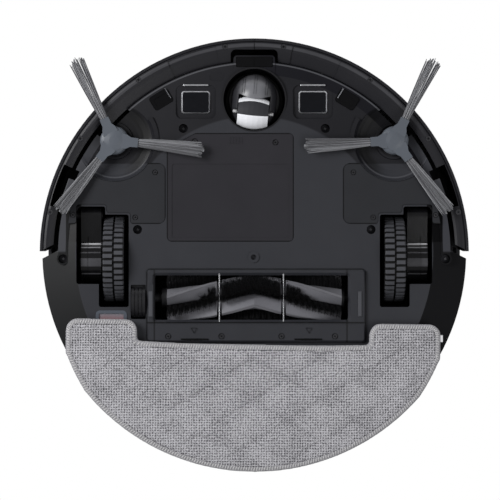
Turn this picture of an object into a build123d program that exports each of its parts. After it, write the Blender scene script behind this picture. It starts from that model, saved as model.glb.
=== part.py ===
from build123d import *
import math
import os

os.makedirs("parts", exist_ok=True)

# A robot vacuum with a mop, standing on its floor at z = 0.
# Millimetres, +Z up, front towards -Y. The robot's own left is +X.

# Body: a round tray, flat in the middle, with a ramp in front and a slope at the sides and rear.
BODY_R = 174.0
FRONT_R = 154.0
WALL = 2.5
BASE_Z = 10.0
PLATE = 3.0
FLAT_R = 146.0
RIM_Z = 21.0
RAMP_R = 111.0
RAMP_RISE = 3.0
RAMP_BACK_Y = -73.0
LIP_R = 156.6
LIP_TOP = 14.4
LIP_EDGE = 0.6
PLATE_TOP = BASE_Z + PLATE
COVER_T = 2.2
COVER_TOP = BASE_Z + COVER_T
SEAM = 0.35
TOP_Z = 80.0
TOP_T = 2.5
ROOF_Z = TOP_Z - TOP_T
STEP_SLOPE = 0.4927
STEP_X = 145.8
STEP_Y = -9.3

# Bumper: a half ring that slides back over the front of the tray.
BUMPER_R = 175.5
BUMPER_GAP = 6.7
BUMPER_Z = 13.0
BUMPER_TOP = 74.0
BUMPER_SCREW_R = 170.4
BUMPER_SCREW_ANGLES = (8.06, 33.8, 56.7, 78.7)

# Driven wheels on their swinging gearboxes.
WHEEL_X = 115.0
WHEEL_Y = 5.0
WHEEL_R = 35.0
TYRE_W = 17.2
TYRE_BORE_R = 28.5
LUGS = 42
LUG_DEPTH = 1.8
LUG_GAP = 2.1
PIVOT_Y = -31.0
PIVOT_Z = 24.0
PIVOT_R = 3.0
AXLE_R = 4.0
SPRING_Y = -20.0
ARM_X = 134.0
RUN_FIT = 0.06

# Castor, turned a little about its stem as it stands.
CASTOR_Y = -125.4
CASTOR_CUP_R = 25.2
CASTOR_TRAIL = 10.8
CASTOR_R = 13.6
CASTOR_W = 25.0
CASTOR_DOME_R = 18.6
CASTOR_TURN = 5.5

# Side brushes.
SIDE_X = 114.3
SIDE_Y = -91.8
SIDE_HUB_R = 11.5
SIDE_ARM_R = 19.6
SIDE_TIP_R = 74.6
SIDE_RIGHT_ARMS = (115.0, -6.3, 232.0)
SIDE_LEFT_ARMS = (63.2, 183.8, 307.0)
DISH_R = 33.0
DISH_TOP = 15.5

# Main brush.
BRUSH_Y = 36.5
BRUSH_Z = 22.0
BRUSH_R = 20.5
BRUSH_HALF = 71.2
BRUSH_ROWS = 4
BRUSH_TWIST = 68.0
BRUSH_ROW_ANGLE = -25.0
BLADE_R = 19.6
WIRE_X = (-28.5, 23.8)
WIRE_Z = 8.0
WIRE_R = 0.6

# Mop, tank and bin.
TANK_X = 118.5
TANK_Y = 78.0
TANK_TOP = 36.0
SHELF_Z = 37.0
SHELF_T = 2.5

# Turret, start button and lid hinge on top.
TURRET_Y = -30.0
TURRET_R = 42.0
TURRET_TOP = 94.0
BUTTON_Y = -105.0
LID_PIN_Y = 25.0
LID_PIN_Z = 77.9

# Cliff windows, charging contacts and brush guard.
WINDOW_TURN = 31.2
CONTACT_Z = 11.4
GUARD_LOW = 6.6

# Inner units: fan, drum of the brush gearbox, brush duct and circuit board.
FAN_X = 112.0
FAN_Y = 88.0
DRUM_Y = 40.0
DRUM_Z = 18.6
DUCT_LOW = 41.5
DUCT_HIGH = 46.3
BOARD_Z = 58.0
BOARD_TOP = 59.6


def disc(radius, z0, z1, x=0.0, y=0.0):
    """Upright round bar between two heights."""
    return Pos(x, y, (z0 + z1) / 2) * Cylinder(radius, z1 - z0)


def bar_x(radius, x0, x1, y, z):
    """Round bar along X."""
    return Pos((x0 + x1) / 2, y, z) * Rot(0, 90, 0) * Cylinder(radius, x1 - x0)


def bar_y(radius, y0, y1, x, z):
    """Round bar along Y."""
    return Pos(x, (y0 + y1) / 2, z) * Rot(90, 0, 0) * Cylinder(radius, y1 - y0)


def block(x0, x1, y0, y1, z0, z1):
    """Box between three pairs of limits."""
    return Pos((x0 + x1) / 2, (y0 + y1) / 2, (z0 + z1) / 2) * Box(x1 - x0, y1 - y0, z1 - z0)


def slab(outline, z0, z1):
    """Flat outline raised from one height to another."""
    return extrude(Pos(0, 0, z0) * outline, z1 - z0)


def turned(points, start=0.0, end=360.0):
    """Profile of radius and height points turned about the upright axis."""
    profile = make_face(Plane.XZ * Polyline(*points, close=True))
    return Rot(0, 0, start) * revolve(profile, Axis.Z, end - start)


def turned_x(points):
    """Profile of distance-along-X and radius points turned about the X axis."""
    profile = make_face(Polyline(*points, close=True))
    return revolve(profile, Axis.X, 360)


def rounded(points, radius):
    """Closed outline with every corner rounded."""
    return make_face(FilletPolyline(*points, radius=radius, close=True))


def rounded_box(x0, x1, y0, y1, radius):
    """Rounded rectangle between two pairs of limits."""
    return Pos((x0 + x1) / 2, (y0 + y1) / 2) * RectangleRounded(x1 - x0, y1 - y0, radius)


def both(shape):
    """A shape and its mirror across the middle plane."""
    return shape + mirror(shape, Plane.YZ)


def side_zone(shift):
    """Everything behind the slanted steps at the sides, moved by a distance along Y."""
    far = 220.0
    near = 100.0
    y_far = STEP_Y + (far - STEP_X) * STEP_SLOPE + shift
    y_near = STEP_Y + (near - STEP_X) * STEP_SLOPE + shift
    points = [(-far, y_far), (-near, y_near), (near, y_near), (far, y_far), (far, far), (-far, far)]
    return make_face(Polyline(*points, close=True))


def body_outline(rear_r, front_r):
    """Plan of the body: a wide rear, stepping in behind the bumper."""
    return Circle(front_r) + (Circle(rear_r) & side_zone(0))


def screw(x, y, z, head_r, length):
    """Pan-head screw seen from below, with a cross slot."""
    head = disc(head_r, z, z + 1.4, x, y)
    slot = head_r * 1.3
    cross = block(x - slot / 2, x + slot / 2, y - 0.3, y + 0.3, z - 1, z + 0.7)
    cross += block(x - 0.3, x + 0.3, y - slot / 2, y + slot / 2, z - 1, z + 0.7)
    return head - cross + disc(head_r * 0.5, z + 1.4, z + length, x, y)


def coil_path(radius, pitch, turns):
    """Helix of tangent arcs, two arcs for each quarter turn."""
    quarters = int(turns * 4)
    slope = pitch / (2 * math.pi * radius)
    edges = []
    for i in range(quarters):
        a0 = i * math.pi / 2
        a1 = a0 + math.pi / 2
        p0 = Vector(radius * math.cos(a0), radius * math.sin(a0), pitch * i / 4)
        p1 = Vector(radius * math.cos(a1), radius * math.sin(a1), pitch * (i + 1) / 4)
        t0 = Vector(-math.sin(a0), math.cos(a0), slope).normalized()
        t1 = Vector(-math.sin(a1), math.cos(a1), slope).normalized()
        v = p1 - p0
        t = t0 + t1
        a = 2 * (1 - t0.dot(t1))
        b = 2 * v.dot(t)
        c = -v.dot(v)
        d = (-b + math.sqrt(b * b - 4 * a * c)) / (2 * a)
        joint = (p0 + t0 * d + p1 - t1 * d) * 0.5
        edges.append(TangentArc(p0, joint, tangent=t0))
        edges.append(TangentArc(joint, p1, tangent=joint - (p0 + t0 * d)))
    return Wire(edges)


def coil(radius, wire_r, height, turns):
    """Coil spring standing on z = 0."""
    pitch = (height - 2 * wire_r) / turns
    path = coil_path(radius, pitch, turns)
    section = Plane(origin=path @ 0, z_dir=path % 0) * Circle(wire_r)
    return Pos(0, 0, wire_r) * sweep(section, path=path)


def save(shape, name):
    """Write one piece."""
    export_step(shape, "parts/" + name + ".step")


# Outlines that more than one piece shares.
BATTERY_COVER = rounded([(-71.1, -9.5), (31.9, -9.5), (31.9, -97.6), (-47.7, -97.6), (-71.1, -85.4)], 4)
TANK_PLAN = rounded_box(-TANK_X, TANK_X, TANK_Y, 260, 12) & Circle(BODY_R)
GUARD_PLAN = rounded_box(-87.7, 90.9, 13.2, 72.9, 3)
GUARD_MOUTH = rounded_box(-81, 76.5, 18.3, 54.6, 1.5)
LID_MOUTH = rounded_box(-84, 84, 21.6, 180, 2) & Circle(158)
LID_PLAN = rounded_box(-83.55, 83.55, 22.9, 180, 2) & Circle(157.5)
WELL_PLAN = rounded_box(-145.4, -121.7, -38, 25.4, 2) + rounded_box(-127, -102.5, -31.4, 44.2, 2)
PORT_PLAN = rounded_box(-129.5, -104.1, 46.9, 62.4, 3.5)
MOTOR_COVER_POINTS = [
    (-72.7, -73.1), (-156.0, -73.1), (-156.0, -24), (-145.6, -24), (-145.6, -39.6), (-120.6, -39.6),
    (-120.6, -32.9), (-101.0, -32.9), (-101.0, -24), (-72.7, -24),
]
MOTOR_COVER = rounded(MOTOR_COVER_POINTS, 2.4) & Circle(FRONT_R - 0.2)
MOTOR_COVER = MOTOR_COVER & rounded_box(-200, -72.7, -73.1, -24, 6)
MOTOR_COVER = MOTOR_COVER - Pos(-SIDE_X, SIDE_Y) * Circle(DISH_R + 0.6)

SIDE_RIMS = [(53, 65, 161.0), (64, 73, 157.6), (72, 91, 160.4)]
RECESSED_SCREWS = [(58, -101.7), (95.4, -19.1), (156.6, 4.8)]
BATTERY_SCREWS = [(-48.5, -91.1), (17.3, -90.3)]
MOTOR_SCREWS = [(81, -65.8), (97.2, -29.0), (148.2, -31.0)]
GUARD_SCREWS = [(-70.2, 68), (-26.7, 68), (22.2, 68), (65.8, 68)]


# Mop pad: two lobes in front, a round rear, a rounded edge and a sewn hem, laid on a little askew.
MOP_SHIFT = Pos(-1.6, 0, 0) * Pos(0, 110, 0) * Rot(0, 0, 1.0) * Pos(0, -110, 0)


def mop_outline(inset):
    """Plan of the mop, drawn in by a distance all round."""
    lobe = rounded_box(94.3 + inset, 152.6 - inset, 55.6 + inset, 140, 9.5 - inset / 2)
    middle = rounded_box(-120, 120, 72.6 + inset, 200, 1)
    rear = Circle(174.2 - inset)
    return (lobe + mirror(lobe, Plane.YZ) + middle + rounded_box(-130, 130, 100, 200, 1)) & rear


def make_mop_pad():
    pad = slab(mop_outline(0), 0.6, 4.8)
    pad = fillet(pad.edges().group_by(Axis.Z)[0], 1.4)
    seam = mop_outline(4.0) - mop_outline(4.8)
    pad = pad - slab(seam, 0, 1.1)
    return MOP_SHIFT * pad


def make_mop_plate():
    plate = slab(mop_outline(5), 4.8, 9.5)
    plate = chamfer(plate.edges().group_by(Axis.Z)[-1], 1.0)
    seat = slab(rounded_box(-100, 100, 84, 150, 8), 9.0, BASE_Z)
    return MOP_SHIFT * plate + seat


def make_water_tank():
    envelope = turned([(0, BASE_Z), (FLAT_R, BASE_Z), (BODY_R, RIM_Z), (BODY_R, TANK_TOP), (0, TANK_TOP)])
    tank = envelope & slab(TANK_PLAN, 0, 60)
    tank = chamfer(tank.edges().group_by(Axis.Z)[-1], 1.2)
    low_room = slab(offset(TANK_PLAN & Circle(FLAT_R + 4), -3), BASE_Z + 2.5, TANK_TOP - 2.5)
    high_room = slab(offset(TANK_PLAN & Circle(BODY_R - 5), -3), RIM_Z + 2, TANK_TOP - 2.5)
    room = low_room + high_room - block(-16, 16, 158, 180, 0, 60)
    pocket = block(-12, 12, 164.8, 180, 24, 33)
    plug = disc(11, TANK_TOP - 1.6, TANK_TOP + 1, -60, 110) - disc(9.5, 0, TANK_TOP - 0.4, -60, 110)
    return tank - room - pocket - plug


def make_tank_button():
    button = block(-11.6, 11.6, 168.5, 180, 24.4, 32.6) & disc(BODY_R + 0.2, 0, 60)
    grips = [block(-8, 8, 173, 180, z, z + 0.8) for z in (26.4, 28.1, 29.8)]
    return button - grips


def make_chassis():
    pan_points = [
        (0, BASE_Z), (FLAT_R, BASE_Z), (BODY_R, RIM_Z), (BODY_R, RIM_Z + 3), (BODY_R - WALL, RIM_Z + 3),
        (BODY_R - WALL, RIM_Z + 2), (FLAT_R - 1, PLATE_TOP), (0, PLATE_TOP),
    ]
    plan = slab(body_outline(BODY_R + 1, FRONT_R), 0, 60)
    pan = turned(pan_points) & plan
    front = block(-BODY_R, BODY_R, -BODY_R, RAMP_BACK_Y, 0, 60)
    pan = pan - (front - disc(RAMP_R, 0, 60))
    lip_z = BASE_Z + RAMP_RISE * (LIP_R - RAMP_R) / (FRONT_R - RAMP_R)
    ramp_points = [
        (RAMP_R, BASE_Z), (LIP_R - LIP_EDGE, lip_z), (LIP_R, lip_z + LIP_EDGE), (LIP_R, LIP_TOP),
        (FRONT_R, LIP_TOP), (FRONT_R, PLATE_TOP + RAMP_RISE), (RAMP_R, PLATE_TOP),
    ]
    ramp = turned(ramp_points) & front
    web = both(block(84, 133, RAMP_BACK_Y - 3, RAMP_BACK_Y + 3, PLATE_TOP, PLATE_TOP + RAMP_RISE))
    tray = pan + ramp + web

    # Front tab that carries the middle cliff window.
    tab = slab(rounded_box(-17, 17, -161.5, -140, 3), PLATE_TOP - 0.6, PLATE_TOP + RAMP_RISE)
    tab = tab - disc(RAMP_R + 36, 0, 60)
    tray = tray + tab

    # Stepped rims at the sides, between the tray and the bumper.
    for start, end, rim_r in SIDE_RIMS:
        rim = turned([(152.5, 12.2), (rim_r, 12.6), (rim_r, 16), (152.5, 16)], start - 90, end - 90)
        tray = tray + both(rim)

    # Dishes round the side brushes, with a raised rim on the inner side.
    for side in (1, -1):
        hub = Pos(side * SIDE_X, SIDE_Y, 0)
        bowl_top = DISH_TOP + PLATE
        bowl_points = [
            (0, BASE_Z), (DISH_R + 3.4, BASE_Z), (DISH_R + 3.4, PLATE_TOP), (DISH_R, 16), (28, bowl_top),
            (0, bowl_top),
        ]
        bowl = hub * turned(bowl_points)
        inner = hub * Rot(0, 0, 90 + side * 32) * block(0, 60, -60, 60, 0, 60)
        roof = hub * turned([(0, 13.5), (30, 13.5), (27, bowl_top), (0, bowl_top)])
        tray = tray + (((bowl & inner) + roof) & plan)
    for side in (1, -1):
        hub = Pos(side * SIDE_X, SIDE_Y, 0)
        dish = hub * turned([
            (0, 9), (DISH_R + 1.2, 9), (DISH_R, BASE_Z), (32.2, 11.4), (30.6, 13), (28, 14.3), (24, 15.2),
            (20, DISH_TOP), (0, DISH_TOP),
        ])
        collar = hub * turned([(13.2, 14), (15, 14), (15.6, DISH_TOP), (13.2, DISH_TOP)])
        tray = tray - dish - disc(4.2, 0, 40, side * SIDE_X, SIDE_Y) + (collar & plan)

    # Battery bay: an opening for the cover with a ledge, and a walled bay above it.
    bay_out = offset(BATTERY_COVER, -1, kind=Kind.INTERSECTION)
    bay_in = offset(BATTERY_COVER, -3, kind=Kind.INTERSECTION)
    tray = tray + slab(bay_out - bay_in, PLATE_TOP, 53)
    posts = [disc(2, 52, 58, x, y) for x in (-69.1, 29.9) for y in (-70, -84)]
    tray = tray + posts
    tray = tray - slab(bay_in, 0, 60) - slab(offset(BATTERY_COVER, SEAM), 0, COVER_TOP)

    # Bosses for the long screws, and backing for the charging contacts.
    for x, y in RECESSED_SCREWS:
        tray = tray + both(disc(5, PLATE_TOP - 0.5, PLATE_TOP + 10, x, y))
    tray = tray + both(block(30.5, 65.3, -138.5, -108.5, PLATE_TOP, PLATE_TOP + 3))

    # Cuts right through: wheel wells, castor, main brush, drum of the brush gearbox, dust port, tank.
    cuts = [both(slab(WELL_PLAN, 0, PLATE_TOP + 5))]
    cuts.append(disc(CASTOR_CUP_R + 1.2, 0, 40, 0, CASTOR_Y))
    cuts.append(slab(rounded_box(-82, 77.5, 15, 58, 2), 0, 20))
    cuts.append(slab(rounded_box(-100.9, -88.6, 26, 54, 1), 0, 20))
    cuts.append(slab(PORT_PLAN, 0, 20))
    cuts.append(slab(offset(TANK_PLAN, 0.5), 0, 60))

    # Shallow seats: motor covers, brush guard, charging contacts, cliff windows.
    cuts.append(both(slab(offset(MOTOR_COVER, SEAM), 0, COVER_TOP)))
    cuts.append(slab(offset(GUARD_PLAN, SEAM), 0, BASE_Z + 1.5))
    cuts.append(both(slab(rounded_box(31.5, 64.2, -137.3, -109.5, 5), 0, PLATE_TOP)))
    cuts.append(slab(rounded_box(-15, 15, -160.5, -151.9, 1), 0, PLATE_TOP + 0.6))
    window_seat = slab(rounded_box(-8.8, 8.8, -153, -140.4, 2.5), 0, PLATE_TOP + 1)
    cuts += [Rot(0, 0, WINDOW_TURN) * window_seat, Rot(0, 0, -WINDOW_TURN) * window_seat]
    cuts.append(both(block(99, 129.6, -73.5, -72.8, 0, 14.9)))
    cuts.append(slab(rounded_box(-36.5, -25.2, -148.3, -140.4, 3), 0, BASE_Z + 2.9))
    for x, y in RECESSED_SCREWS:
        cuts.append(both(disc(3.7, 0, PLATE_TOP + 6, x, y)))
        cuts.append(both(disc(1.6, 0, PLATE_TOP + 20, x, y)))
    for x, y in MOTOR_SCREWS:
        cuts.append(both(disc(1.3, 0, PLATE_TOP + 9, x, y)))
    for x, y in BATTERY_SCREWS + GUARD_SCREWS:
        cuts.append(disc(1.3, 0, PLATE_TOP + 9, x, y))
    for cut in cuts:
        tray = tray - cut

    # Small ring boss in the middle of the flat.
    ring = disc(4.6, BASE_Z - 0.8, BASE_Z + 0.5, -0.7, 3.4)
    return tray + ring - disc(2.2, 0, BASE_Z + 2, -0.7, 3.4)


def make_top_cover():
    cover = turned([
        (0, ROOF_Z), (168, ROOF_Z), (170.5, 75), (173.5, 75), (173.5, 76.6), (172.4, 78.4), (169.5, TOP_Z),
        (0, TOP_Z),
    ])
    skirt = offset(LID_MOUTH, 1.6, kind=Kind.INTERSECTION) - LID_MOUTH
    cover = cover + slab(skirt, 74, ROOF_Z + 0.5)
    cover = cover - slab(LID_MOUTH, 60, 90) - disc(39, 60, 90, 0, TURRET_Y)
    cover = cover - disc(9.4, 60, 90, 0, BUTTON_Y)
    finger = Pos(0, 158, TOP_Z + 4) * Sphere(12)
    pins = bar_x(1.3, -87, 87, LID_PIN_Y, LID_PIN_Z)
    return cover - finger - pins


def make_bin_lid():
    lid = slab(LID_PLAN, ROOF_Z, TOP_Z)
    lid = lid + both(bar_x(1.2, 82, 85.8, LID_PIN_Y, LID_PIN_Z))
    ribs = [block(x - 0.8, x + 0.8, 40, 140, ROOF_Z - 1, ROOF_Z) for x in (-54, -18, 18, 54)]
    return lid + ribs


def make_body_shell(chassis, cover):
    outer = body_outline(BODY_R, FRONT_R)
    inner = body_outline(BODY_R - WALL, FRONT_R - WALL) & side_zone(WALL) + Circle(FRONT_R - WALL)
    shell = slab(outer - inner, PLATE_TOP, ROOF_Z)
    below = turned([(130, -1), (FLAT_R, BASE_Z), (BODY_R, RIM_Z), (190, 27.3), (190, -1)])
    rear = slab(make_face(Polyline((-200, 63.4), (200, 63.4), (200, 200), (-200, 200), close=True)), 0, 90)
    shelf = slab(Circle(BODY_R - 1), SHELF_Z, SHELF_Z + SHELF_T) & rear
    front = block(-BODY_R, BODY_R, -BODY_R, RAMP_BACK_Y, 0, PLATE_TOP + RAMP_RISE)
    castor_room = disc(CASTOR_CUP_R + 1.8, 0, 60, 0, CASTOR_Y) + disc(CASTOR_CUP_R + 4.2, 0, 19, 0, CASTOR_Y)
    shell = shell + shelf - below - front - castor_room
    shell = shell - slab(offset(TANK_PLAN, 0.5), 0, SHELF_Z)
    vents = [Rot(0, 0, a) * block(160, 180, -1.2, 1.2, 48, 64) for a in range(28, 62, 4)]
    shell = shell - vents
    shell = shell - chassis - cover
    return shell.solids().sort_by(SortBy.VOLUME)[-1]


def make_bumper():
    """Outer shell of the bumper and the screwed ring under it."""
    zone = slab(Circle(200) - side_zone(-BUMPER_GAP), 0, 100)
    shell = turned([
        (BUMPER_R - 2.2, BUMPER_Z + 0.4), (BUMPER_R, BUMPER_Z + 0.4), (BUMPER_R, 69), (BUMPER_R - 2, 73),
        (BUMPER_R - 4, BUMPER_TOP), (160, BUMPER_TOP), (160, 71.6), (171.4, 71.6), (BUMPER_R - 2.2, 69),
    ], -180, 0)
    outer_r = BUMPER_R - 2.5
    crest = [(outer_r, BUMPER_Z + 1.2), (172.2, BUMPER_Z + 0.5), (170.6, BUMPER_Z), (168.6, BUMPER_Z + 0.1)]
    back = [(168, BUMPER_Z + 2.8), (outer_r, BUMPER_Z + 2.8)]
    deep_slope = [(166, 13.7), (163, 14.7), (160, 15.8), (157.4, 16.8), (157.4, 18.8)]
    narrow_slope = [(166.4, 13.6), (164.5, 14.6), (164.5, 17)]
    deep = turned(crest + deep_slope + back, -140, -40)
    narrow = turned(crest + narrow_slope + back, -40, 0)
    ring = deep + both(narrow)
    ring = ring - slab(rounded_box(-19.3, 19.3, -166.5, -140, 4), 0, 40)
    slot = turned([(150, 0), (171.6, 0), (171.6, 40), (150, 40)], 65 - 90, 77 - 90)
    seam = block(-0.35, 0.35, -180, -160, 0, BUMPER_Z + 1.4)
    shell = shell - seam
    ring = ring - both(slot) - seam
    channel = turned([
        (171.8, 0), (171.8, BUMPER_Z + 1.2), (166.8, BUMPER_Z + 1.2), (155, BUMPER_Z + 5.4), (155, 0),
    ], 10.5, 24.5)
    ring = ring - both(Rot(0, 0, -90) * channel)
    screws = []
    for angle in BUMPER_SCREW_ANGLES:
        x = BUMPER_SCREW_R * math.sin(math.radians(angle))
        y = -BUMPER_SCREW_R * math.cos(math.radians(angle))
        shell = shell + both(disc(3.2, BUMPER_Z + 3.3, 72, x, y) & disc(BUMPER_R - 1, 0, 90))
        shell = shell - both(disc(1.2, BUMPER_Z, BUMPER_Z + 14, x, y))
        ring = ring - both(disc(2.3, 0, BUMPER_Z + 2.2, x, y)) - both(disc(1.2, 0, 40, x, y))
        screws.append(screw(x, y, BUMPER_Z + 0.8, 2.1, 10))
        screws.append(screw(-x, y, BUMPER_Z + 0.8, 2.1, 10))
    return shell & zone, ring & zone, Compound(screws)


def make_battery_cover():
    cover = slab(BATTERY_COVER, BASE_Z, COVER_TOP)
    cover = cover - slab(rounded_box(-67.3, 28.6, -72.7, -12.2, 2), 0, BASE_Z + 0.4)
    grip_x = (-20.4, -18, -15.6, -13.2, -10.8)
    cover = cover + [block(x, x + 0.9, -95, -89.2, BASE_Z - 0.3, BASE_Z + 0.5) for x in grip_x]
    for x, y in BATTERY_SCREWS:
        cover = cover - disc(2.5, 0, BASE_Z + 1.5, x, y) - disc(1.3, 0, 40, x, y)
    return cover


def make_motor_cover():
    cover = slab(MOTOR_COVER, BASE_Z, COVER_TOP)
    for x, y in MOTOR_SCREWS:
        cover = cover - disc(2.3, 0, BASE_Z + 1.5, -x, y) - disc(1.3, 0, 40, -x, y)
    return cover


def make_wheel_housing():
    """Right wheel's housing, open below, with the pin that the gearbox swings on."""
    housing = block(-148, -100.6, -41, 46.5, PLATE_TOP, 76)
    housing = fillet(housing.edges().filter_by(Axis.Z).group_by(Axis.X)[0], 10)
    hollow = block(-146, -102.6, -39.2, 44.7, 0, 74.5)
    hollow = fillet(hollow.edges().filter_by(Axis.Z).group_by(Axis.X)[0], 8)
    pin = bar_x(PIVOT_R, -147, -124.4, PIVOT_Y, PIVOT_Z)
    seat = disc(3.4, 71, 75, -ARM_X, SPRING_Y)
    return housing - hollow + pin + seat


def make_gearbox():
    """Right wheel's swinging gearbox: a drum about the axle and a boss about the pin."""
    x0 = -142.0
    x1 = -125.4
    drum_r = 19.5
    boss_r = 7.0
    web_r = 11.0
    reach = math.hypot(WHEEL_Y - PIVOT_Y, WHEEL_R - PIVOT_Z)
    lean = math.degrees(math.atan2(WHEEL_R - PIVOT_Z, WHEEL_Y - PIVOT_Y))
    taper = math.degrees(math.asin((web_r - boss_r) / reach))
    points = []
    for centre_y, centre_z, radius in ((PIVOT_Y, PIVOT_Z, boss_r), (WHEEL_Y, WHEEL_R, web_r)):
        for angle in (lean + taper + 90, lean - taper - 90):
            a = math.radians(angle)
            points.append((centre_y + radius * math.cos(a), centre_z + radius * math.sin(a)))
    quad = [points[0], points[1], points[3], points[2]]
    web = extrude(Plane.YZ * Pos(0, 0, x0) * make_face(Polyline(*quad, close=True)), x1 - x0)
    arm = web + bar_x(boss_r, x0, x1, PIVOT_Y, PIVOT_Z) + bar_x(drum_r, x0, x1, WHEEL_Y, WHEEL_R)
    for angle in (231, 241, 254, 308):
        a = math.radians(angle)
        y = WHEEL_Y + drum_r * math.cos(a)
        z = WHEEL_R + drum_r * math.sin(a)
        arm = arm + bar_x(0.9, x0 + 0.6, x1 - 0.6, y, z)
    arm = arm + disc(6.4, 34, 47, -ARM_X, SPRING_Y)
    seam = bar_x(drum_r + 4, -136.6, -136.1, WHEEL_Y, WHEEL_R)
    seam = seam - bar_x(drum_r - 0.6, -140, -130, WHEEL_Y, WHEEL_R)
    cap = turned_x([(x0 - 2, 0), (x0 - 2, 9), (x0, 12), (x0, 0)])
    arm = arm - seam + Pos(0, WHEEL_Y, WHEEL_R) * cap
    arm = arm - bar_x(PIVOT_R + RUN_FIT, -160, -100, PIVOT_Y, PIVOT_Z)
    return arm - bar_x(AXLE_R + RUN_FIT, -137.2, -120, WHEEL_Y, WHEEL_R)


def make_wheel_hub():
    """Right wheel's hub with its stub axle."""
    half = TYRE_W / 2 - 0.8
    points = [
        (-21.5, 0), (-21.5, AXLE_R), (-half, AXLE_R), (-half, 9), (-2.5, 9), (-2.5, 24), (-half, 24.5),
        (-half, TYRE_BORE_R), (half, TYRE_BORE_R), (half, 25), (3, 24), (3, 8), (half, 7), (half, 0),
    ]
    hub = turned_x(points)
    holes = [Rot(a, 0, 0) * bar_x(3.6, -10, 10, 0, 16.4) for a in range(0, 360, 60)]
    return Pos(-WHEEL_X, WHEEL_Y, WHEEL_R) * (hub - holes)


def make_tyre():
    """Right wheel's tyre: two rows of staggered lugs with a groove between them."""
    half = TYRE_W / 2
    low = WHEEL_R - LUG_DEPTH
    points = [
        (-half, TYRE_BORE_R), (-half, WHEEL_R - 1.2), (-half + 1.2, WHEEL_R), (-0.8, WHEEL_R), (-0.8, low),
        (0.8, low), (0.8, WHEEL_R), (half - 1.2, WHEEL_R), (half, WHEEL_R - 1.2), (half, TYRE_BORE_R),
    ]
    tyre = turned_x(points)
    gap = block(-half - 1, 0, -LUG_GAP / 2, LUG_GAP / 2, low, WHEEL_R + 1)
    gaps = []
    for i in range(LUGS):
        angle = i * 360 / LUGS
        gaps.append(Rot(angle, 0, 0) * gap)
        gaps.append(Rot(angle + 180 / LUGS, 0, 0) * mirror(gap, Plane.YZ))
    return Pos(-WHEEL_X, WHEEL_Y, WHEEL_R) * (tyre - gaps)


def make_castor():
    """Cup, fork, axle, barrel wheel and its dark bands, turned about the stem as they stand."""
    cup_r = CASTOR_CUP_R
    cup = turned([
        (cup_r, 10.3), (cup_r + 1.2, 10.3), (cup_r + 1.2, 16.2), (cup_r + 2.9, 16.2), (cup_r + 2.9, 18),
        (cup_r + 1.4, 18), (cup_r + 1.4, 41), (9, 43.5), (9, 52), (4.3, 52), (4.3, 40.5), (cup_r - 2, 39),
        (cup_r, 36),
    ])
    cup = Pos(0, CASTOR_Y, 0) * cup

    dome_z = 22.6
    back = 7.0
    dome = Pos(0, -2.6, dome_z) * Sphere(CASTOR_DOME_R) + Pos(0, back, dome_z) * Sphere(CASTOR_DOME_R)
    dome = dome + bar_y(CASTOR_DOME_R, -2.6, back, 0, dome_z)
    dome = dome & block(-40, 40, -40, 40, 0, dome_z)
    crown = turned([
        (0, dome_z), (20.5, dome_z), (20.5, 27), (16, 34), (6, 37), (4.2, 37), (4.2, 51), (0, 51),
    ])
    body = (dome & disc(24, 0, 60)) + crown
    slot_w = CASTOR_W / 2 + 0.7
    wheel_room = bar_x(CASTOR_R + 1.3, -slot_w, slot_w, CASTOR_TRAIL, CASTOR_R)
    wheel_room += block(-slot_w, slot_w, CASTOR_TRAIL - 4, 30, 0, CASTOR_R + 6)
    wheel_room += block(-slot_w, slot_w, CASTOR_TRAIL + 6, 30, 0, dome_z)
    clips = both(block(13.5, 24, CASTOR_TRAIL - 2.4, CASTOR_TRAIL + 2.4, 0, CASTOR_R))
    bore = bar_x(1.56, -30, 30, CASTOR_TRAIL, CASTOR_R)
    fork = body - wheel_room - clips - bore
    skin = Pos(0, -2.6, dome_z) * (Sphere(CASTOR_DOME_R + 1) - Sphere(CASTOR_DOME_R - 0.6))
    for slit_x in (-10.3, -8.5, -0.9, 0.9, 8.5, 10.3):
        fork = fork - (skin & block(slit_x - 0.2, slit_x + 0.2, -22, -4, 0, 18))

    axle = bar_x(1.5, -16.6, 16.6, CASTOR_TRAIL, CASTOR_R)
    barrel = [(-CASTOR_W / 2, 1.6), (-CASTOR_W / 2, 10.6)]
    inner = [(-CASTOR_W / 2, 1.6), (-CASTOR_W / 2, 9.4)]
    steps = 6
    for i in range(1, steps):
        u = -1 + 2 * i / steps
        barrel.append((u * CASTOR_W / 2, CASTOR_R - 3.0 * u * u))
        inner.append((u * CASTOR_W / 2, CASTOR_R - 1.2 - 3.0 * u * u))
    barrel += [(CASTOR_W / 2, 10.6), (CASTOR_W / 2, 1.6)]
    inner += [(CASTOR_W / 2, 9.4), (CASTOR_W / 2, 1.6)]
    full = turned_x(barrel)
    wedge_points = [(0, 0), (40, 40 * math.tan(math.radians(27))), (40, -40 * math.tan(math.radians(27)))]
    wedge = extrude(Plane.YZ * make_face(Polyline(*wedge_points, close=True)), 30, both=True)
    wedges = Rot(-104, 0, 0) * wedge + Rot(76, 0, 0) * wedge
    bands = full & wedges
    bands = bands - turned_x(inner)
    wheel = full - bands
    place = Pos(0, CASTOR_Y, 0) * Rot(0, 0, CASTOR_TURN)
    hub = place * Pos(0, CASTOR_TRAIL, CASTOR_R)
    return cup, place * fork, place * axle, hub * wheel, hub * bands


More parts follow.
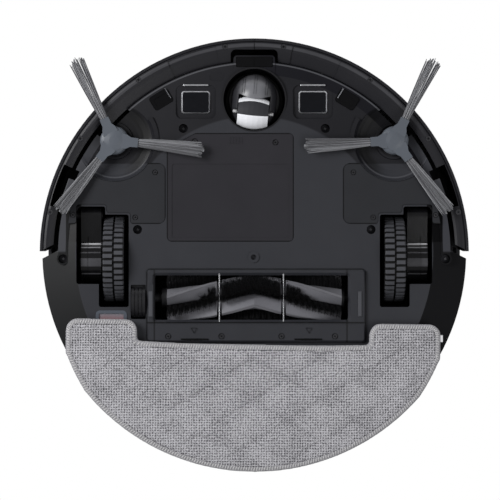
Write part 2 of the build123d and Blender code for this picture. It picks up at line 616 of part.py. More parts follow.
def make_side_brush(side, angles):
    """Hub with three arms, and the bristle tufts in the arms' sockets. Angles are seen from below."""
    place = Pos(side * SIDE_X, SIDE_Y, 0)
    hub = turned([
        (0, 4.2), (4, 4.4), (8, 5.2), (10.4, 6.4), (SIDE_HUB_R, 8), (SIDE_HUB_R, 12.6), (3, 12.6), (3, 30),
        (0, 30),
    ])
    arm_points = [
        (6, -6.4), (10.5, -5.6), (13.5, -3.9), (SIDE_ARM_R, -3.7), (SIDE_ARM_R, 3.7), (13.5, 3.9),
        (10.5, 5.6), (6, 6.4),
    ]
    arm = slab(make_face(Polyline(*arm_points, close=True)), 5.0, 9.6)
    socket = block(SIDE_ARM_R - 4, SIDE_ARM_R + 1, -3.0, 3.0, 5.8, 8.6)
    back = block(SIDE_ARM_R - 3.95, SIDE_ARM_R - 0.6, -2.95, 2.95, 5.85, 8.55)
    strands_across = 8
    layers = 3
    backs = []
    strands = []
    for angle in angles:
        turn = -angle
        hub = hub + Rot(0, 0, turn) * arm
        hub = hub - Rot(0, 0, turn) * socket
        backs.append(Rot(0, 0, turn) * back)
        for row in range(layers):
            for i in range(strands_across):
                u = (i - (strands_across - 1) / 2) / ((strands_across - 1) / 2)
                reach = SIDE_TIP_R - 2.5 * abs(u) - 1.2 * ((i + row) % 2)
                p0 = Vector(SIDE_ARM_R - 1.6, 2.5 * u, 6.4 + 0.8 * row)
                p1 = Vector(reach, 5.0 * u, 1.8 + 0.9 * row)
                way = p1 - p0
                section = Plane(origin=p0, x_dir=(0, 0, 1), z_dir=way.normalized()) * RegularPolygon(0.3, 3)
                strands.append(Rot(0, 0, turn) * extrude(section, way.length))
    tufts = backs[0].fuse(*backs[1:], *strands)
    return place * hub, place * tufts


def brush_turn(x):
    """Turn of the main brush's rows at a place along it, largest at the ends."""
    return BRUSH_ROW_ANGLE + BRUSH_TWIST * abs(x) / BRUSH_HALF


def brush_section(x, corners):
    """Closed outline across the main brush from turn and radius corners."""
    points = []
    for turn, radius in corners:
        a = math.radians(turn + brush_turn(x) - 90)
        points.append((x, radius * math.cos(a), radius * math.sin(a)))
    return make_face(Polyline(*points, close=True))


def twisted(corners):
    """Loft of a section along the brush, twisting to the middle and back."""
    half = [brush_section(BRUSH_HALF * i / 4, corners) for i in range(5)]
    other = [brush_section(-BRUSH_HALF * i / 4, corners) for i in range(5)]
    return loft(half, ruled=True) + loft(other, ruled=True)


def make_main_brush():
    """Core with four rubber blades in a chevron, and four rows of bristles between them."""
    groove = 9.6
    quarter = 360 / BRUSH_ROWS
    corners = []
    for row in range(BRUSH_ROWS):
        start = row * quarter
        left = start - groove
        right = start + groove
        corners += [(left, 11.4), (left, 9.4), (right, 9.4), (right, 11.4)]
        corners += [(start + quarter / 2 - 3, BLADE_R), (start + quarter / 2 + 3, BLADE_R)]
    core = twisted(corners)
    for x in WIRE_X:
        core = core - (bar_x(30, x - 2, x + 2, 0, 0) - bar_x(12.4, x - 3, x + 3, 0, 0))
    core = core + bar_x(8, -BRUSH_HALF - 4.5, -BRUSH_HALF + 2, 0, 0) + bar_x(4, -95, -BRUSH_HALF, 0, 0)
    core = core + bar_x(8, BRUSH_HALF - 2, BRUSH_HALF + 2.5, 0, 0) + bar_x(3, BRUSH_HALF, 79.5, 0, 0)

    backs = []
    strands = []
    per_half = 36
    for row in range(BRUSH_ROWS):
        start = row * quarter
        left = start - groove + 0.6
        right = start + groove - 0.6
        backs.append(twisted([(left, 11.3), (left, 9.6), (right, 9.6), (right, 11.3)]))
        for i in range(2 * per_half):
            x = -BRUSH_HALF + BRUSH_HALF / per_half * (i + 0.5)
            if min(abs(x - w) for w in WIRE_X) < 2.8:
                continue
            turn = start + brush_turn(x) + 2.2 * (-1) ** i
            strand = extrude(Pos(0, 0, 10.4) * RegularPolygon(0.55, 3), BRUSH_R - 10.4)
            strands.append(Pos(x, 0, 0) * Rot(turn + 180, 0, 0) * strand)
    bristles = backs[0].fuse(*backs[1:], *strands)
    place = Pos(0, BRUSH_Y, BRUSH_Z)
    return place * core, place * bristles


def make_brush_chamber():
    """Tunnel over the main brush with end plates, bearing holes and the way to the bin."""
    out_r = 26.0
    in_r = 24.0
    outer = bar_x(out_r, -83.6, 79.4, BRUSH_Y, BRUSH_Z)
    outer = outer + block(-83.6, 79.4, BRUSH_Y - out_r, BRUSH_Y + out_r, 0, BRUSH_Z)
    outer = outer & block(-90, 90, -10, 90, PLATE_TOP, 60)
    inner = bar_x(in_r, -81.6, 77.4, BRUSH_Y, BRUSH_Z)
    inner = inner + block(-81.6, 77.4, BRUSH_Y - in_r, BRUSH_Y + in_r, 0, BRUSH_Z)
    chamber = outer - inner - bar_x(4.4, -100, -70, BRUSH_Y, BRUSH_Z)
    chamber = chamber - bar_x(3 + RUN_FIT, 70, 100, BRUSH_Y, BRUSH_Z)
    way = block(-40, 40, 40, 70, DUCT_LOW, DUCT_HIGH)
    duct = block(-42, 42, 50, 63.2, DUCT_LOW - 1.5, DUCT_HIGH + 1.5) - way
    duct = duct - bar_x(out_r - 0.1, -60, 60, BRUSH_Y, BRUSH_Z)
    return chamber - way + duct


def make_brush_motor():
    """Gearbox beside the tunnel, with the drum that shows below, and the motor in front of the tunnel."""
    drum = bar_x(13.4, -100.3, -89, DRUM_Y, DRUM_Z)
    case = bar_x(15, -100.3, -86, 38, 28) + bar_x(11, -100.3, -86, 4, 28)
    case = case + block(-100.3, -86, 4, 38, PLATE_TOP, 39)
    case = case & block(-101, -80, -20, 80, PLATE_TOP + 0.2, 60)
    case = case + drum
    rings = []
    for x in (-98, -95, -92):
        ring = bar_x(20, x, x + 0.7, DRUM_Y, DRUM_Z) - bar_x(12.8, x - 1, x + 2, DRUM_Y, DRUM_Z)
        rings.append(ring & block(-110, -80, 0, 80, 0, PLATE_TOP))
    motor = bar_x(9, -86, -46, 1, 27) + bar_x(3, -46, -42, 1, 27)
    return case - rings + motor - bar_x(AXLE_R + 0.3, -96, -80, BRUSH_Y, BRUSH_Z)


def make_brush_guard():
    """Frame round the main brush's mouth with bevels, screw seats and latch ribs."""
    low = GUARD_LOW
    guard = slab(GUARD_PLAN, low, BASE_Z + 1.4)
    guard = chamfer(guard.edges().group_by(Axis.Z)[0], 1.6)
    guard = guard - slab(GUARD_MOUTH, 0, 20)
    lead = loft([Pos(0, 0, low) * offset(GUARD_MOUTH, 2.2), Pos(0, 0, low + 2.4) * GUARD_MOUTH])
    guard = guard - lead
    guard = guard - block(-88, 92, 56.8, 58.2, 0, low + 0.8)
    for x, y in GUARD_SCREWS:
        guard = guard - disc(2.6, 0, low + 1.6, x, y) - disc(1.3, 0, 20, x, y)
    for latch_x in (-49.2, 44.5):
        for x in (latch_x - 5.6, latch_x - 2.8, latch_x, latch_x + 2.8, latch_x + 5.6):
            guard = guard - block(x - 0.5, x + 0.5, 69.6, 74, 0, low + 1.2)
    guard = guard - slab(rounded_box(84.4, 87.6, 31, 52, 1.2), 0, low + 0.5)
    guard = guard + slab(rounded_box(-86.0, -82.4, 25.5, 52.5, 0.9), low - 0.6, low + 1)
    for x in WIRE_X:
        guard = guard - bar_y(WIRE_R + 0.04, 16.2, 56.7, x, WIRE_Z)
    return guard


def make_fan():
    """Round fan housing with a side outlet, and the bladed wheel inside."""
    z0 = SHELF_Z + SHELF_T
    place = Pos(FAN_X, FAN_Y, 0)
    case = turned([
        (11, z0), (25, z0), (25, 68), (22, 70), (0, 70), (0, 66), (1.6, 66), (1.6, 59), (8, 59), (8, 68),
        (21, 68), (23, 66.5), (23, z0 + 2), (11, z0 + 2),
    ])
    outlet = block(8, 20, -34, -8, 46, 62) - block(9.5, 18.5, -40, 0, 47.5, 60.5)
    outlet = outlet - disc(23.5, 0, 90)
    case = case + outlet - block(9.5, 18.5, -40, -18, 47.5, 60.5)
    wheel = turned([(0, 45), (21, 45), (21, 46.2), (6, 48), (6, 57), (1.5, 57), (1.5, 64.5), (0, 64.5)])
    blade_points = [(5, -0.5), (13, 1.6), (20.4, 6.2), (20.0, 7.0), (12.6, 2.7), (5, 0.6)]
    vane = slab(make_face(Polyline(*blade_points, close=True)), 45.6, 56)
    wheel = wheel + [Rot(0, 0, a) * vane for a in range(0, 360, 40)]
    return place * case, place * wheel


def make_turret():
    """Bowl, posts and cap of the turret, and the rotor that turns in it."""
    bowl = turned([
        (3 + RUN_FIT, 69), (38.4, 69), (38.4, TOP_Z), (TURRET_R + 1, TOP_Z), (TURRET_R, TOP_Z + 2.4),
        (36.8, TOP_Z + 2.4), (36.8, 71), (3 + RUN_FIT, 71),
    ])
    cap_r = TURRET_R
    cap = turned([(0, 90.4), (cap_r, 90.4), (cap_r, 92), (cap_r - 2.4, TURRET_TOP), (0, TURRET_TOP)])
    cover = bowl + cap
    post = Rot(0, 0, -4) * turned([(37.6, TOP_Z + 2), (40.4, TOP_Z + 2), (40.4, 91), (37.6, 91)], 0, 8)
    cover = cover + [Rot(0, 0, a) * post for a in (50, 90, 130, 200, 340)]
    rotor = turned([(0, 66), (3, 66), (3, 73), (34, 73), (34, 80), (31, 82), (0, 82)])
    head = rounded([(-24, -14), (24, -14), (18, 15), (-18, 15)], 4)
    eyes = bar_y(4.4, -16, -8, -13, 85.4) + bar_y(3.4, -16, -8, 11, 85.4)
    rotor = rotor + slab(head, 81.5, 89.2) + eyes
    place = Pos(0, TURRET_Y, 0)
    return place * cover, place * rotor


def make_dust_bin():
    """Hollow bin with a mouth in front, a filter window at the side and a grip on top."""
    z0 = SHELF_Z + SHELF_T
    box = slab(rounded_box(-78, 78, 63.4, 149, 10) & Circle(168), z0, 73)
    box = chamfer(box.edges().group_by(Axis.Z)[-1], 2)
    room = slab(rounded_box(-76, 76, 65.4, 147, 8) & Circle(166), z0 + 2, 71)
    box = box - room - block(-40, 40, 50, 70, DUCT_LOW, DUCT_HIGH) - block(70, 90, 84, 136, 46, 68)
    grip = bar_x(2.6, -30, 30, 110, 73) & block(-40, 40, 90, 130, 72, 90)
    return box + grip


def make_bin_filter():
    """Pleated filter in a frame at the bin's side."""
    frame = block(78, 84, 82, 138, 44, 70) - block(70, 90, 84, 136, 46, 68)
    pleats = 13
    step = 52.0 / pleats
    front = []
    back = []
    for i in range(pleats + 1):
        y = 84 + i * step
        front.append((79.2 if i % 2 else 81.2, y))
        back.append((81.0 if i % 2 else 83.0, y))
    media = slab(make_face(Polyline(*front, *reversed(back), close=True)), 46, 68)
    return frame + media


def make_main_board():
    """Circuit board with its larger parts."""
    board = slab(rounded_box(-75, 75, -112, -62, 4), BOARD_Z, BOARD_TOP)
    board = board + block(-40, -22, -98, -80, BOARD_TOP, BOARD_TOP + 1.8)
    board = board + block(10, 22, -92, -80, BOARD_TOP, BOARD_TOP + 1.4)
    board = board + block(34, 48, -84, -72, BOARD_TOP, BOARD_TOP + 1.2)
    plugs = [block(x, x + 11, -74, -68, BOARD_TOP, 65) for x in (-68, -52, -36, 8)]
    cans = [disc(3.2, BOARD_TOP, 67, 58, y) for y in (-104, -95)]
    return board + plugs + cans


def make_side_brush_motors():
    """Geared motors over the side brushes' dishes."""
    z0 = DISH_TOP + PLATE
    link = rounded([(88, -70), (88, -88), (108, -99.2), (119.5, -94), (119.5, -86), (106, -68)], 3)
    case = slab(link, z0, z0 + 9) & disc(FRONT_R - WALL - 1, 0, 90)
    motor = disc(11.6, z0 + 8, 48, 98, -80) + disc(3, 48, 51, 98, -80)
    case = case + motor - disc(3.2, 0, 40, SIDE_X, SIDE_Y)
    return both(case)


chassis = make_chassis()
save(chassis, "chassis")
top_cover = make_top_cover()
save(top_cover, "top_cover")
save(make_body_shell(chassis, top_cover), "body_shell")
save(make_bin_lid(), "bin_lid")

bumper_shell, bumper_ring, bumper_screws = make_bumper()
save(bumper_shell, "bumper_shell")
save(bumper_ring, "bumper_lower_ring")
save(bumper_screws, "bumper_screws")
spring_y = -math.sqrt((BUMPER_R - 2.2) ** 2 - 61.0 ** 2) + 0.3
spring_length = -math.sqrt(FRONT_R ** 2 - 51.0 ** 2) - spring_y - 0.3
bumper_spring = Rot(-90, 0, 0) * coil(4, 0.6, spring_length, 5)
bumper_springs = [Pos(x, spring_y, 45) * bumper_spring for x in (-56.0, 56.0)]
save(Compound(bumper_springs), "bumper_springs")

save(make_battery_cover(), "battery_cover")
pack_end = Plane.XZ * Pos(-19, 31) * RectangleRounded(74, 37, 9)
battery_pack = Pos(0, -23, 0) * extrude(pack_end, 65)
save(battery_pack, "battery_pack")
motor_cover = make_motor_cover()
save(motor_cover, "right_motor_cover")
save(mirror(motor_cover, Plane.YZ), "left_motor_cover")

cover_screws = [screw(x, y, BASE_Z + 0.1, 1.6, 6) for x, y in BATTERY_SCREWS]
for x, y in MOTOR_SCREWS:
    cover_screws += [screw(x, y, BASE_Z + 0.1, 1.6, 2.8), screw(-x, y, BASE_Z + 0.1, 1.6, 2.8)]
save(Compound(cover_screws), "cover_screws")
long_screws = []
for x, y in RECESSED_SCREWS:
    long_screws += [screw(x, y, PLATE_TOP + 4.6, 3.2, 9), screw(-x, y, PLATE_TOP + 4.6, 3.2, 9)]
save(Compound(long_screws), "recessed_screws")
save(Compound([screw(x, y, GUARD_LOW + 0.2, 1.7, 9) for x, y in GUARD_SCREWS]), "guard_screws")

contact = slab(rounded_box(36.2, 59.6, -132.4, -113.8, 2.6), CONTACT_Z, PLATE_TOP)
contact = chamfer(contact.edges().group_by(Axis.Z)[0], 1.0)
save(contact, "left_charging_contact")
save(mirror(contact, Plane.YZ), "right_charging_contact")

front_window = slab(rounded_box(-14.7, 14.7, -160.2, -152.2, 1), 11.8, PLATE_TOP + 0.6)
front_window = front_window - block(-0.4, 0.4, -170, -140, 0, 12.2)
save(front_window, "front_cliff_window")
window = slab(rounded_box(-8.5, 8.5, -152.7, -140.7, 2.2), 11.8, PLATE_TOP + 1)
window = window - slab(rounded_box(-6.2, 6.2, -149.6, -142.6, 1.4), 0, 12.3)
save(Compound([Rot(0, 0, WINDOW_TURN) * window, Rot(0, 0, -WINDOW_TURN) * window]), "side_cliff_windows")

housing = make_wheel_housing()
save(housing - chassis, "right_wheel_housing")
save(mirror(housing, Plane.YZ) - chassis, "left_wheel_housing")
gearbox = make_gearbox()
save(gearbox, "right_gearbox")
save(mirror(gearbox, Plane.YZ), "left_gearbox")
hub = make_wheel_hub()
save(hub, "right_wheel_hub")
save(mirror(hub, Plane.YZ), "left_wheel_hub")
tyre = make_tyre()
save(tyre, "right_tyre")
save(mirror(tyre, Plane.YZ), "left_tyre")
suspension = Pos(-ARM_X, SPRING_Y, 47.1) * coil(5, 0.7, 27.2, 7)
save(suspension, "right_suspension_spring")
save(mirror(suspension, Plane.YZ), "left_suspension_spring")

castor_cup, castor_fork, castor_axle, castor_wheel, castor_bands = make_castor()
save(castor_cup, "castor_cup")
save(castor_fork, "castor_fork")
save(castor_axle, "castor_axle")
save(castor_wheel, "castor_wheel")
save(castor_bands, "castor_dark_bands")

right_brush_hub, right_bristles = make_side_brush(-1, SIDE_RIGHT_ARMS)
save(right_brush_hub, "right_brush_hub")
save(right_bristles, "right_brush_bristles")
left_brush_hub, left_bristles = make_side_brush(1, SIDE_LEFT_ARMS)
save(left_brush_hub, "left_brush_hub")
save(left_bristles, "left_brush_bristles")
save(make_side_brush_motors(), "side_brush_motors")

main_core, main_bristles = make_main_brush()
save(main_core, "main_brush_core")
save(main_bristles, "main_brush_bristles")
save(make_brush_chamber(), "brush_chamber")
save(make_brush_motor(), "brush_motor")
save(make_brush_guard(), "brush_guard")
save(Compound([bar_y(WIRE_R, 16.4, 56.5, x, WIRE_Z) for x in WIRE_X]), "guard_wires")

port_frame = slab(PORT_PLAN - offset(PORT_PLAN, -2.6), 9.5, PLATE_TOP)
save(port_frame, "dust_port_frame")
save(slab(offset(PORT_PLAN, -2.65), 10.6, 12.4), "dust_port_membrane")

fan_housing, fan_impeller = make_fan()
save(fan_housing, "fan_housing")
save(fan_impeller, "fan_impeller")
turret_cover, turret_rotor = make_turret()
save(turret_cover, "turret_cover")
save(turret_rotor, "turret_rotor")
button = turned([
    (0, 70), (3, 70), (3, 75), (10.6, 75), (10.6, 76.2), (9, 76.2), (9, 79.6), (8.4, 80.2), (0, 79.7),
])
save(Pos(0, BUTTON_Y, 0) * button, "start_button")

save(make_dust_bin(), "dust_bin")
save(make_bin_filter(), "bin_filter")
save(make_main_board(), "main_board")
save(make_water_tank(), "water_tank")
save(make_tank_button(), "tank_button")
save(make_mop_plate(), "mop_plate")
save(make_mop_pad(), "mop_pad")
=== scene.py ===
# %% [markdown]
# # A robot vacuum seen from below
# This lesson dresses a finished CAD model of a round robot vacuum with a mop. The CAD model brings
# the hard pieces, each one in its true place, in metres, with the floor at z = 0 and the front
# towards -Y. The lesson adds what CAD does badly: bristles, cloth, stitches and surface finish.

# %% Load the CAD model
import bpy
import math
import random
import numpy as np
from mathutils import Matrix, Vector


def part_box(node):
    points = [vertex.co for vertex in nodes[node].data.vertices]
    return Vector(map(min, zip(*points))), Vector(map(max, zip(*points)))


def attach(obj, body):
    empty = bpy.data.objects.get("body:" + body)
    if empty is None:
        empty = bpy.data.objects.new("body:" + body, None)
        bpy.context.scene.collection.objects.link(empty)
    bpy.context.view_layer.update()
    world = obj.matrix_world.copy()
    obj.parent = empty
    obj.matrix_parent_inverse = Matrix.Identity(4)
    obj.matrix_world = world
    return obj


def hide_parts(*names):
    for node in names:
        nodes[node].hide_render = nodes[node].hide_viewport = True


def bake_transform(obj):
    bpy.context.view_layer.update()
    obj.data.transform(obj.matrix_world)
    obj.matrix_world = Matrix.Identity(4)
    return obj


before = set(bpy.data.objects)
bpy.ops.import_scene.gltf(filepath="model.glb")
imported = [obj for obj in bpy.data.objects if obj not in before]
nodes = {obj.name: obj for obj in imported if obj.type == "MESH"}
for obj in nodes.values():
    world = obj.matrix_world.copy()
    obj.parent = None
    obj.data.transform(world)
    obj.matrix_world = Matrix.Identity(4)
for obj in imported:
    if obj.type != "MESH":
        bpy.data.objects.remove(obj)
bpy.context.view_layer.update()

# %% [markdown]
# ## The camera
# The photograph looks straight up at the underside from far away, so a long lens two metres below
# the robot gives the same flat view. Turning the camera half round about X makes it look up, with
# the front of the robot at the top of the picture and its own left on the right.

# %% Camera
VIEW_WIDTH = 0.4089
VIEW_CENTRE = (-0.0035, -0.0024)
BASE_HEIGHT = 0.013
DISTANCE = 2.0
SENSOR = 36.0

camera_data = bpy.data.cameras.new("camera")
camera_data.sensor_width = SENSOR
camera_data.lens = SENSOR * DISTANCE / VIEW_WIDTH
camera = bpy.data.objects.new("camera", camera_data)
camera.location = (VIEW_CENTRE[0], VIEW_CENTRE[1], BASE_HEIGHT - DISTANCE)
camera.rotation_euler = (math.pi, 0, 0)
bpy.context.scene.collection.objects.link(camera)
bpy.context.scene.camera = camera
bpy.context.scene.view_settings.view_transform = "Standard"
print("lens", round(camera_data.lens, 1), "mm")

# %% [markdown]
# ## Writing shader maths as sums
# A finish is easier to read as a sum than as a web of nodes. The class below wraps a node's socket,
# so that adding or multiplying two of them adds the Math node that does it.

# %% Wires
class Wire:
    """An output socket that adds Math nodes when it is used in a sum."""

    def __init__(self, board, socket):
        self.board = board
        self.socket = socket

    def math(self, operation, first, second=0.0):
        return self.board.node("ShaderNodeMath", {"operation": operation}, {0: first, 1: second})

    def __add__(self, other):
        return self.math("ADD", self, other)

    def __radd__(self, other):
        return self.math("ADD", other, self)

    def __sub__(self, other):
        return self.math("SUBTRACT", self, other)

    def __rsub__(self, other):
        return self.math("SUBTRACT", other, self)

    def __mul__(self, other):
        return self.math("MULTIPLY", self, other)

    def __rmul__(self, other):
        return self.math("MULTIPLY", other, self)

    def __pow__(self, other):
        return self.math("POWER", self, other)

    def __abs__(self):
        return self.math("ABSOLUTE", self)

    def cosine(self):
        return self.math("COSINE", self)


def length(a, b):
    """The long side over two sides at a right angle."""
    return (a * a + b * b) ** 0.5


print("sides of 3 and 4 give", length(3.0, 4.0))

# %% [markdown]
# ## Boards
# A board holds a tree of nodes. Its node method adds any node with its settings and sockets, and the
# other methods are the few patterns that most finishes here are made of: noise, soft steps, bands
# with soft sides, and blends of two colours.

# %% Boards
class Board:
    """A tree of shader nodes and a method that adds any node to it."""

    def __init__(self, tree):
        self.tree = tree

    def feed(self, socket, value):
        if isinstance(value, Wire):
            self.tree.links.new(value.socket, socket)
        else:
            socket.default_value = value

    def node(self, kind, settings=None, sockets=None, out=0):
        made = self.tree.nodes.new(kind)
        for name, value in (settings or {}).items():
            setattr(made, name, value)
        for name, value in (sockets or {}).items():
            self.feed(made.inputs[name], value)
        return Wire(self, made.outputs[out])

    def axes(self, vector):
        """The x, y and z of a vector."""
        split = self.node("ShaderNodeSeparateXYZ", None, {0: vector}).socket.node
        return [Wire(self, output) for output in split.outputs]

    def noise(self, place, scale, detail=2.0):
        return self.node("ShaderNodeTexNoise", None, {"Vector": place, "Scale": scale, "Detail": detail})

    def soft_step(self, value, low, high):
        """0 at low and 1 at high, smooth between and flat beyond. Low may be the larger number."""
        settings = {"interpolation_type": "SMOOTHSTEP", "clamp": True}
        return self.node("ShaderNodeMapRange", settings, {0: value, 1: low, 2: high, 3: 0.0, 4: 1.0})

    def band(self, value, low, high, soft):
        """1 between low and high, 0 outside, with soft sides."""
        return self.soft_step(value, low - soft, low) * (1.0 - self.soft_step(value, high, high + soft))

    def blend(self, factor, first, second):
        """A colour between two colours."""
        sockets = {0: factor, 6: first, 7: second}
        return self.node("ShaderNodeMix", {"data_type": "RGBA"}, sockets, out=2)


print("CAD nodes that wait for a finish", len(nodes))

# %% [markdown]
# ## Tones
# Colours are given on a scale to 255, while a shader takes linear light, so tone works them
# over.

# %% Tones
def tone(red, green, blue):
    """A colour given 0 to 255, as the linear values that a shader takes."""
    linear = []
    for value in (red, green, blue):
        v = value / 255
        linear.append(v / 12.92 if v <= 0.04045 else ((v + 0.055) / 1.055) ** 2.4)
    return (*linear, 1.0)


def scaled(shade, factor):
    """A lighter or darker colour."""
    return tuple(v * factor for v in shade[:3]) + (1.0,)


print("a dark grey in linear light", [round(v, 3) for v in tone(54, 55, 60)[:3]])

# %% [markdown]
# ## Paints
# A paint is a board with a material round it. What is the same all over a surface is set on the
# shader's own sockets, and what varies is fed to the base colour, the roughness or a bump.

# %% Paints
class Paint(Board):
    """One material with its Principled shader."""

    def __init__(self, name, **constants):
        self.material = bpy.data.materials.new(name)
        self.material.use_nodes = True
        super().__init__(self.material.node_tree)
        self.shader = self.tree.nodes["Principled BSDF"]
        for socket, value in constants.items():
            self.shader.inputs[socket.replace("_", " ")].default_value = value

    def place(self):
        """Object coordinates, which are the robot's own frame in metres."""
        return self.node("ShaderNodeTexCoord", out="Object")

    def attribute(self, name):
        """A number that the mesh carries at each of its points."""
        return self.node("ShaderNodeAttribute", {"attribute_name": name}, out="Fac")

    def colour(self, value):
        self.feed(self.shader.inputs["Base Color"], value)

    def rough(self, value):
        self.feed(self.shader.inputs["Roughness"], value)

    def bump(self, height, strength, distance):
        sockets = {"Height": height, "Strength": strength, "Distance": distance}
        self.feed(self.shader.inputs["Normal"], self.node("ShaderNodeBump", None, sockets))

    def mix_shaders(self, factor, first, second):
        """Show the first shader where the factor is 0 and the second where it is 1."""
        mixed = self.node("ShaderNodeMixShader", None, {0: factor, 1: first, 2: second})
        self.feed(self.tree.nodes["Material Output"].inputs["Surface"], mixed)

    def main_shader(self):
        return Wire(self, self.shader.outputs[0])


def dress(paint, *names):
    """Put a finish on CAD nodes."""
    for name in names:
        node = nodes[name]
        if not node.material_slots:
            node.data.materials.append(paint.material)
        for slot in node.material_slots:
            slot.material = paint.material


print("materials before the first finish", len(bpy.data.materials))

# %% [markdown]
# ## Moulded plastic
# Most of the robot is injection-moulded plastic with a spark-eroded grain, so light breaks up very
# finely on it. One recipe does all of these: a base tone that drifts a little over centimetres, a
# roughness that drifts with it, and a fine bump for the grain. Each piece gets its own tone. Along
# the covers' straight seams the recipe paints shade, the dark of the gaps between the pieces.

# %% Moulded plastic recipe
PATCH_SCALE = 45.0
GRAIN_SCALE = 2600.0
GRAIN_DEPTH = 0.0002
GRAIN = 0.12
SEAM_WIDTH = 0.0009
SEAM_WEIGHT = 0.75


def mottle(paint, place):
    """The two noises of a moulded plastic, broad patches and fine grain, and their mix."""
    patch = paint.noise(place, PATCH_SCALE, 3.0)
    fine = paint.noise(place, GRAIN_SCALE, 1.0)
    return patch, fine, patch * 0.6 + fine * 0.4


def moulded(name, shade, roughness=0.5, specular=0.25, grain=GRAIN, drift=0.12, coat=0.0, seams=()):
    """A moulded plastic: its tone, gloss and grain, and the lines along which shade is painted dark."""
    paint = Paint(name, Specular_IOR_Level=specular, Coat_Weight=coat, Coat_Roughness=0.08)
    place = paint.place()
    patch, fine, mix = mottle(paint, place)
    colour = paint.blend(mix, scaled(shade, 1 - drift), scaled(shade, 1 + drift))
    # Painted shade along each seam, where the gap between pieces is dark.
    for axis, line in seams:
        off = abs(paint.axes(place)[axis] - line)
        near = 1.0 - paint.soft_step(off, SEAM_WIDTH * 0.4, SEAM_WIDTH)
        colour = paint.blend(near * SEAM_WEIGHT, colour, tone(8, 8, 9))
    paint.colour(colour)
    paint.rough(roughness - 0.06 + patch * 0.12)
    if grain:
        paint.bump(fine, grain, GRAIN_DEPTH)
    return paint


dark_plastic = moulded("dark_plastic", tone(24, 24, 27), roughness=0.55)
dress(dark_plastic, "left_wheel_housing", "right_wheel_housing", "brush_chamber", "mop_plate")
print("moulded plastic has", len(dark_plastic.tree.nodes), "nodes")

# %% [markdown]
# ## Plain pieces
# The pieces without a pattern of their own differ only in tone and gloss. The shell and the lid are
# satin, the turret has a clear coat, the sensor windows are smooth and almost black, and the tank and
# the bin are smoky.

# %% Plain finishes
body_plastic = moulded("body_plastic", tone(28, 28, 31), roughness=0.42, specular=0.35)
dress(body_plastic, "body_shell", "tank_button")
top_plastic = moulded("top_plastic", tone(38, 38, 42), specular=0.3)
dress(top_plastic, "top_cover", "bin_lid")
inner_plastic = moulded("inner_plastic", tone(70, 71, 76))
dress(inner_plastic, "fan_housing", "side_brush_motors")
gloss_black = moulded("gloss_black", tone(18, 18, 20), roughness=0.2, specular=0.5,
                      grain=0.03, drift=0.05, coat=0.6)
dress(gloss_black, "turret_cover")
cup_plastic = moulded("cup_plastic", tone(26, 26, 29), roughness=0.35, specular=0.4, grain=0.05)
dress(cup_plastic, "castor_cup", "turret_rotor")
band_plastic = moulded("band_plastic", tone(54, 54, 58), roughness=0.6, specular=0.2)
dress(band_plastic, "castor_dark_bands")
window_gloss = moulded("window_gloss", tone(11, 11, 13), roughness=0.2, specular=0.35,
                       grain=0.0, drift=0.05)
dress(window_gloss, "front_cliff_window", "side_cliff_windows", "start_button")
dome_grey = moulded("dome_grey", tone(90, 95, 103), roughness=0.38, specular=0.4, grain=0.06)
dress(dome_grey, "left_brush_hub", "right_brush_hub")
hub_plastic = moulded("hub_plastic", tone(60, 61, 66), roughness=0.45, specular=0.3)
dress(hub_plastic, "left_wheel_hub", "right_wheel_hub")
white_plastic = moulded("white_plastic", tone(246, 247, 252), roughness=0.35, specular=0.45,
                        grain=0.04, drift=0.03)
dress(white_plastic, "castor_wheel", "fan_impeller")
smoke_plastic = moulded("smoke_plastic", tone(40, 41, 45), roughness=0.25, specular=0.5,
                        grain=0.03, drift=0.08, coat=0.3)
dress(smoke_plastic, "water_tank", "dust_bin")
print("materials so far", len(bpy.data.materials))

# %% [markdown]
# ## Covers with seams
# The battery cover, the two side covers and the brush guard lie in shallow pockets of the tray. Their
# seams run along the sides of each piece's own box. The guard also has three moulded lines.

# %% Cover finishes
# Each seam and each of the guard's moulded lines gets painted shade.
GUARD_LINES = [(0, -0.0815), (0, 0.0756), (1, 0.0568)]


def box_seams(name, *sides):
    """Lines along the sides of a node's box: axis 0 or 1, end 0 or 1."""
    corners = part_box(name)
    return [(axis, corners[end][axis]) for axis, end in sides]


around = box_seams("battery_cover", (0, 0), (0, 1), (1, 0), (1, 1))
dress(moulded("battery_plastic", tone(41, 40, 45), seams=around), "battery_cover")
for side, inner_end in (("left", 0), ("right", 1)):
    cover = side + "_motor_cover"
    lines = box_seams(cover, (0, inner_end), (1, 0), (1, 1))
    dress(moulded(side + "_cover_plastic", tone(40, 41, 45), seams=lines), cover)
guard_seams = box_seams("brush_guard", (0, 0), (0, 1), (1, 0)) + GUARD_LINES
guard_plastic = moulded("guard_plastic", tone(47, 48, 53), roughness=0.45, specular=0.3, seams=guard_seams)
dress(guard_plastic, "brush_guard")
print("seams", len(around), "on the battery cover and", len(guard_seams), "on the guard")

# %% [markdown]
# ## The bumper
# The low crest of the bumper's front is painted pale, as a highlight where the convex crest catches
# the light. Radius, height and distance to the front pick out that crest.

# %% Bumper finish
CREST_RADIUS = (0.1692, 0.1712)
CREST_SOFT = 0.0008
CREST_HEIGHT = (0.020, 0.016)
CREST_FRONT = (-0.085, -0.125)


def bumper_finish():
    """Satin plastic with a painted highlight along its crest."""
    paint = Paint("bumper_plastic", Specular_IOR_Level=0.26)
    place = paint.place()
    x, y, z = paint.axes(place)
    patch, fine, mix = mottle(paint, place)
    shade = paint.blend(mix, tone(31, 31, 35), tone(37, 37, 41))
    # Painted highlight along the crest.
    crest_highlight = paint.band(length(x, y), *CREST_RADIUS, CREST_SOFT) * paint.soft_step(z, *CREST_HEIGHT)
    crest_highlight = crest_highlight * paint.soft_step(y, *CREST_FRONT)
    paint.colour(paint.blend(crest_highlight * (0.5 + patch * 0.5), shade, tone(74, 74, 78)))
    paint.rough(0.36 + patch * 0.12)
    paint.bump(fine, GRAIN, GRAIN_DEPTH)
    return paint


dress(bumper_finish(), "bumper_shell", "bumper_lower_ring")
print("bumper crest from", CREST_RADIUS[0], "to", CREST_RADIUS[1], "m")
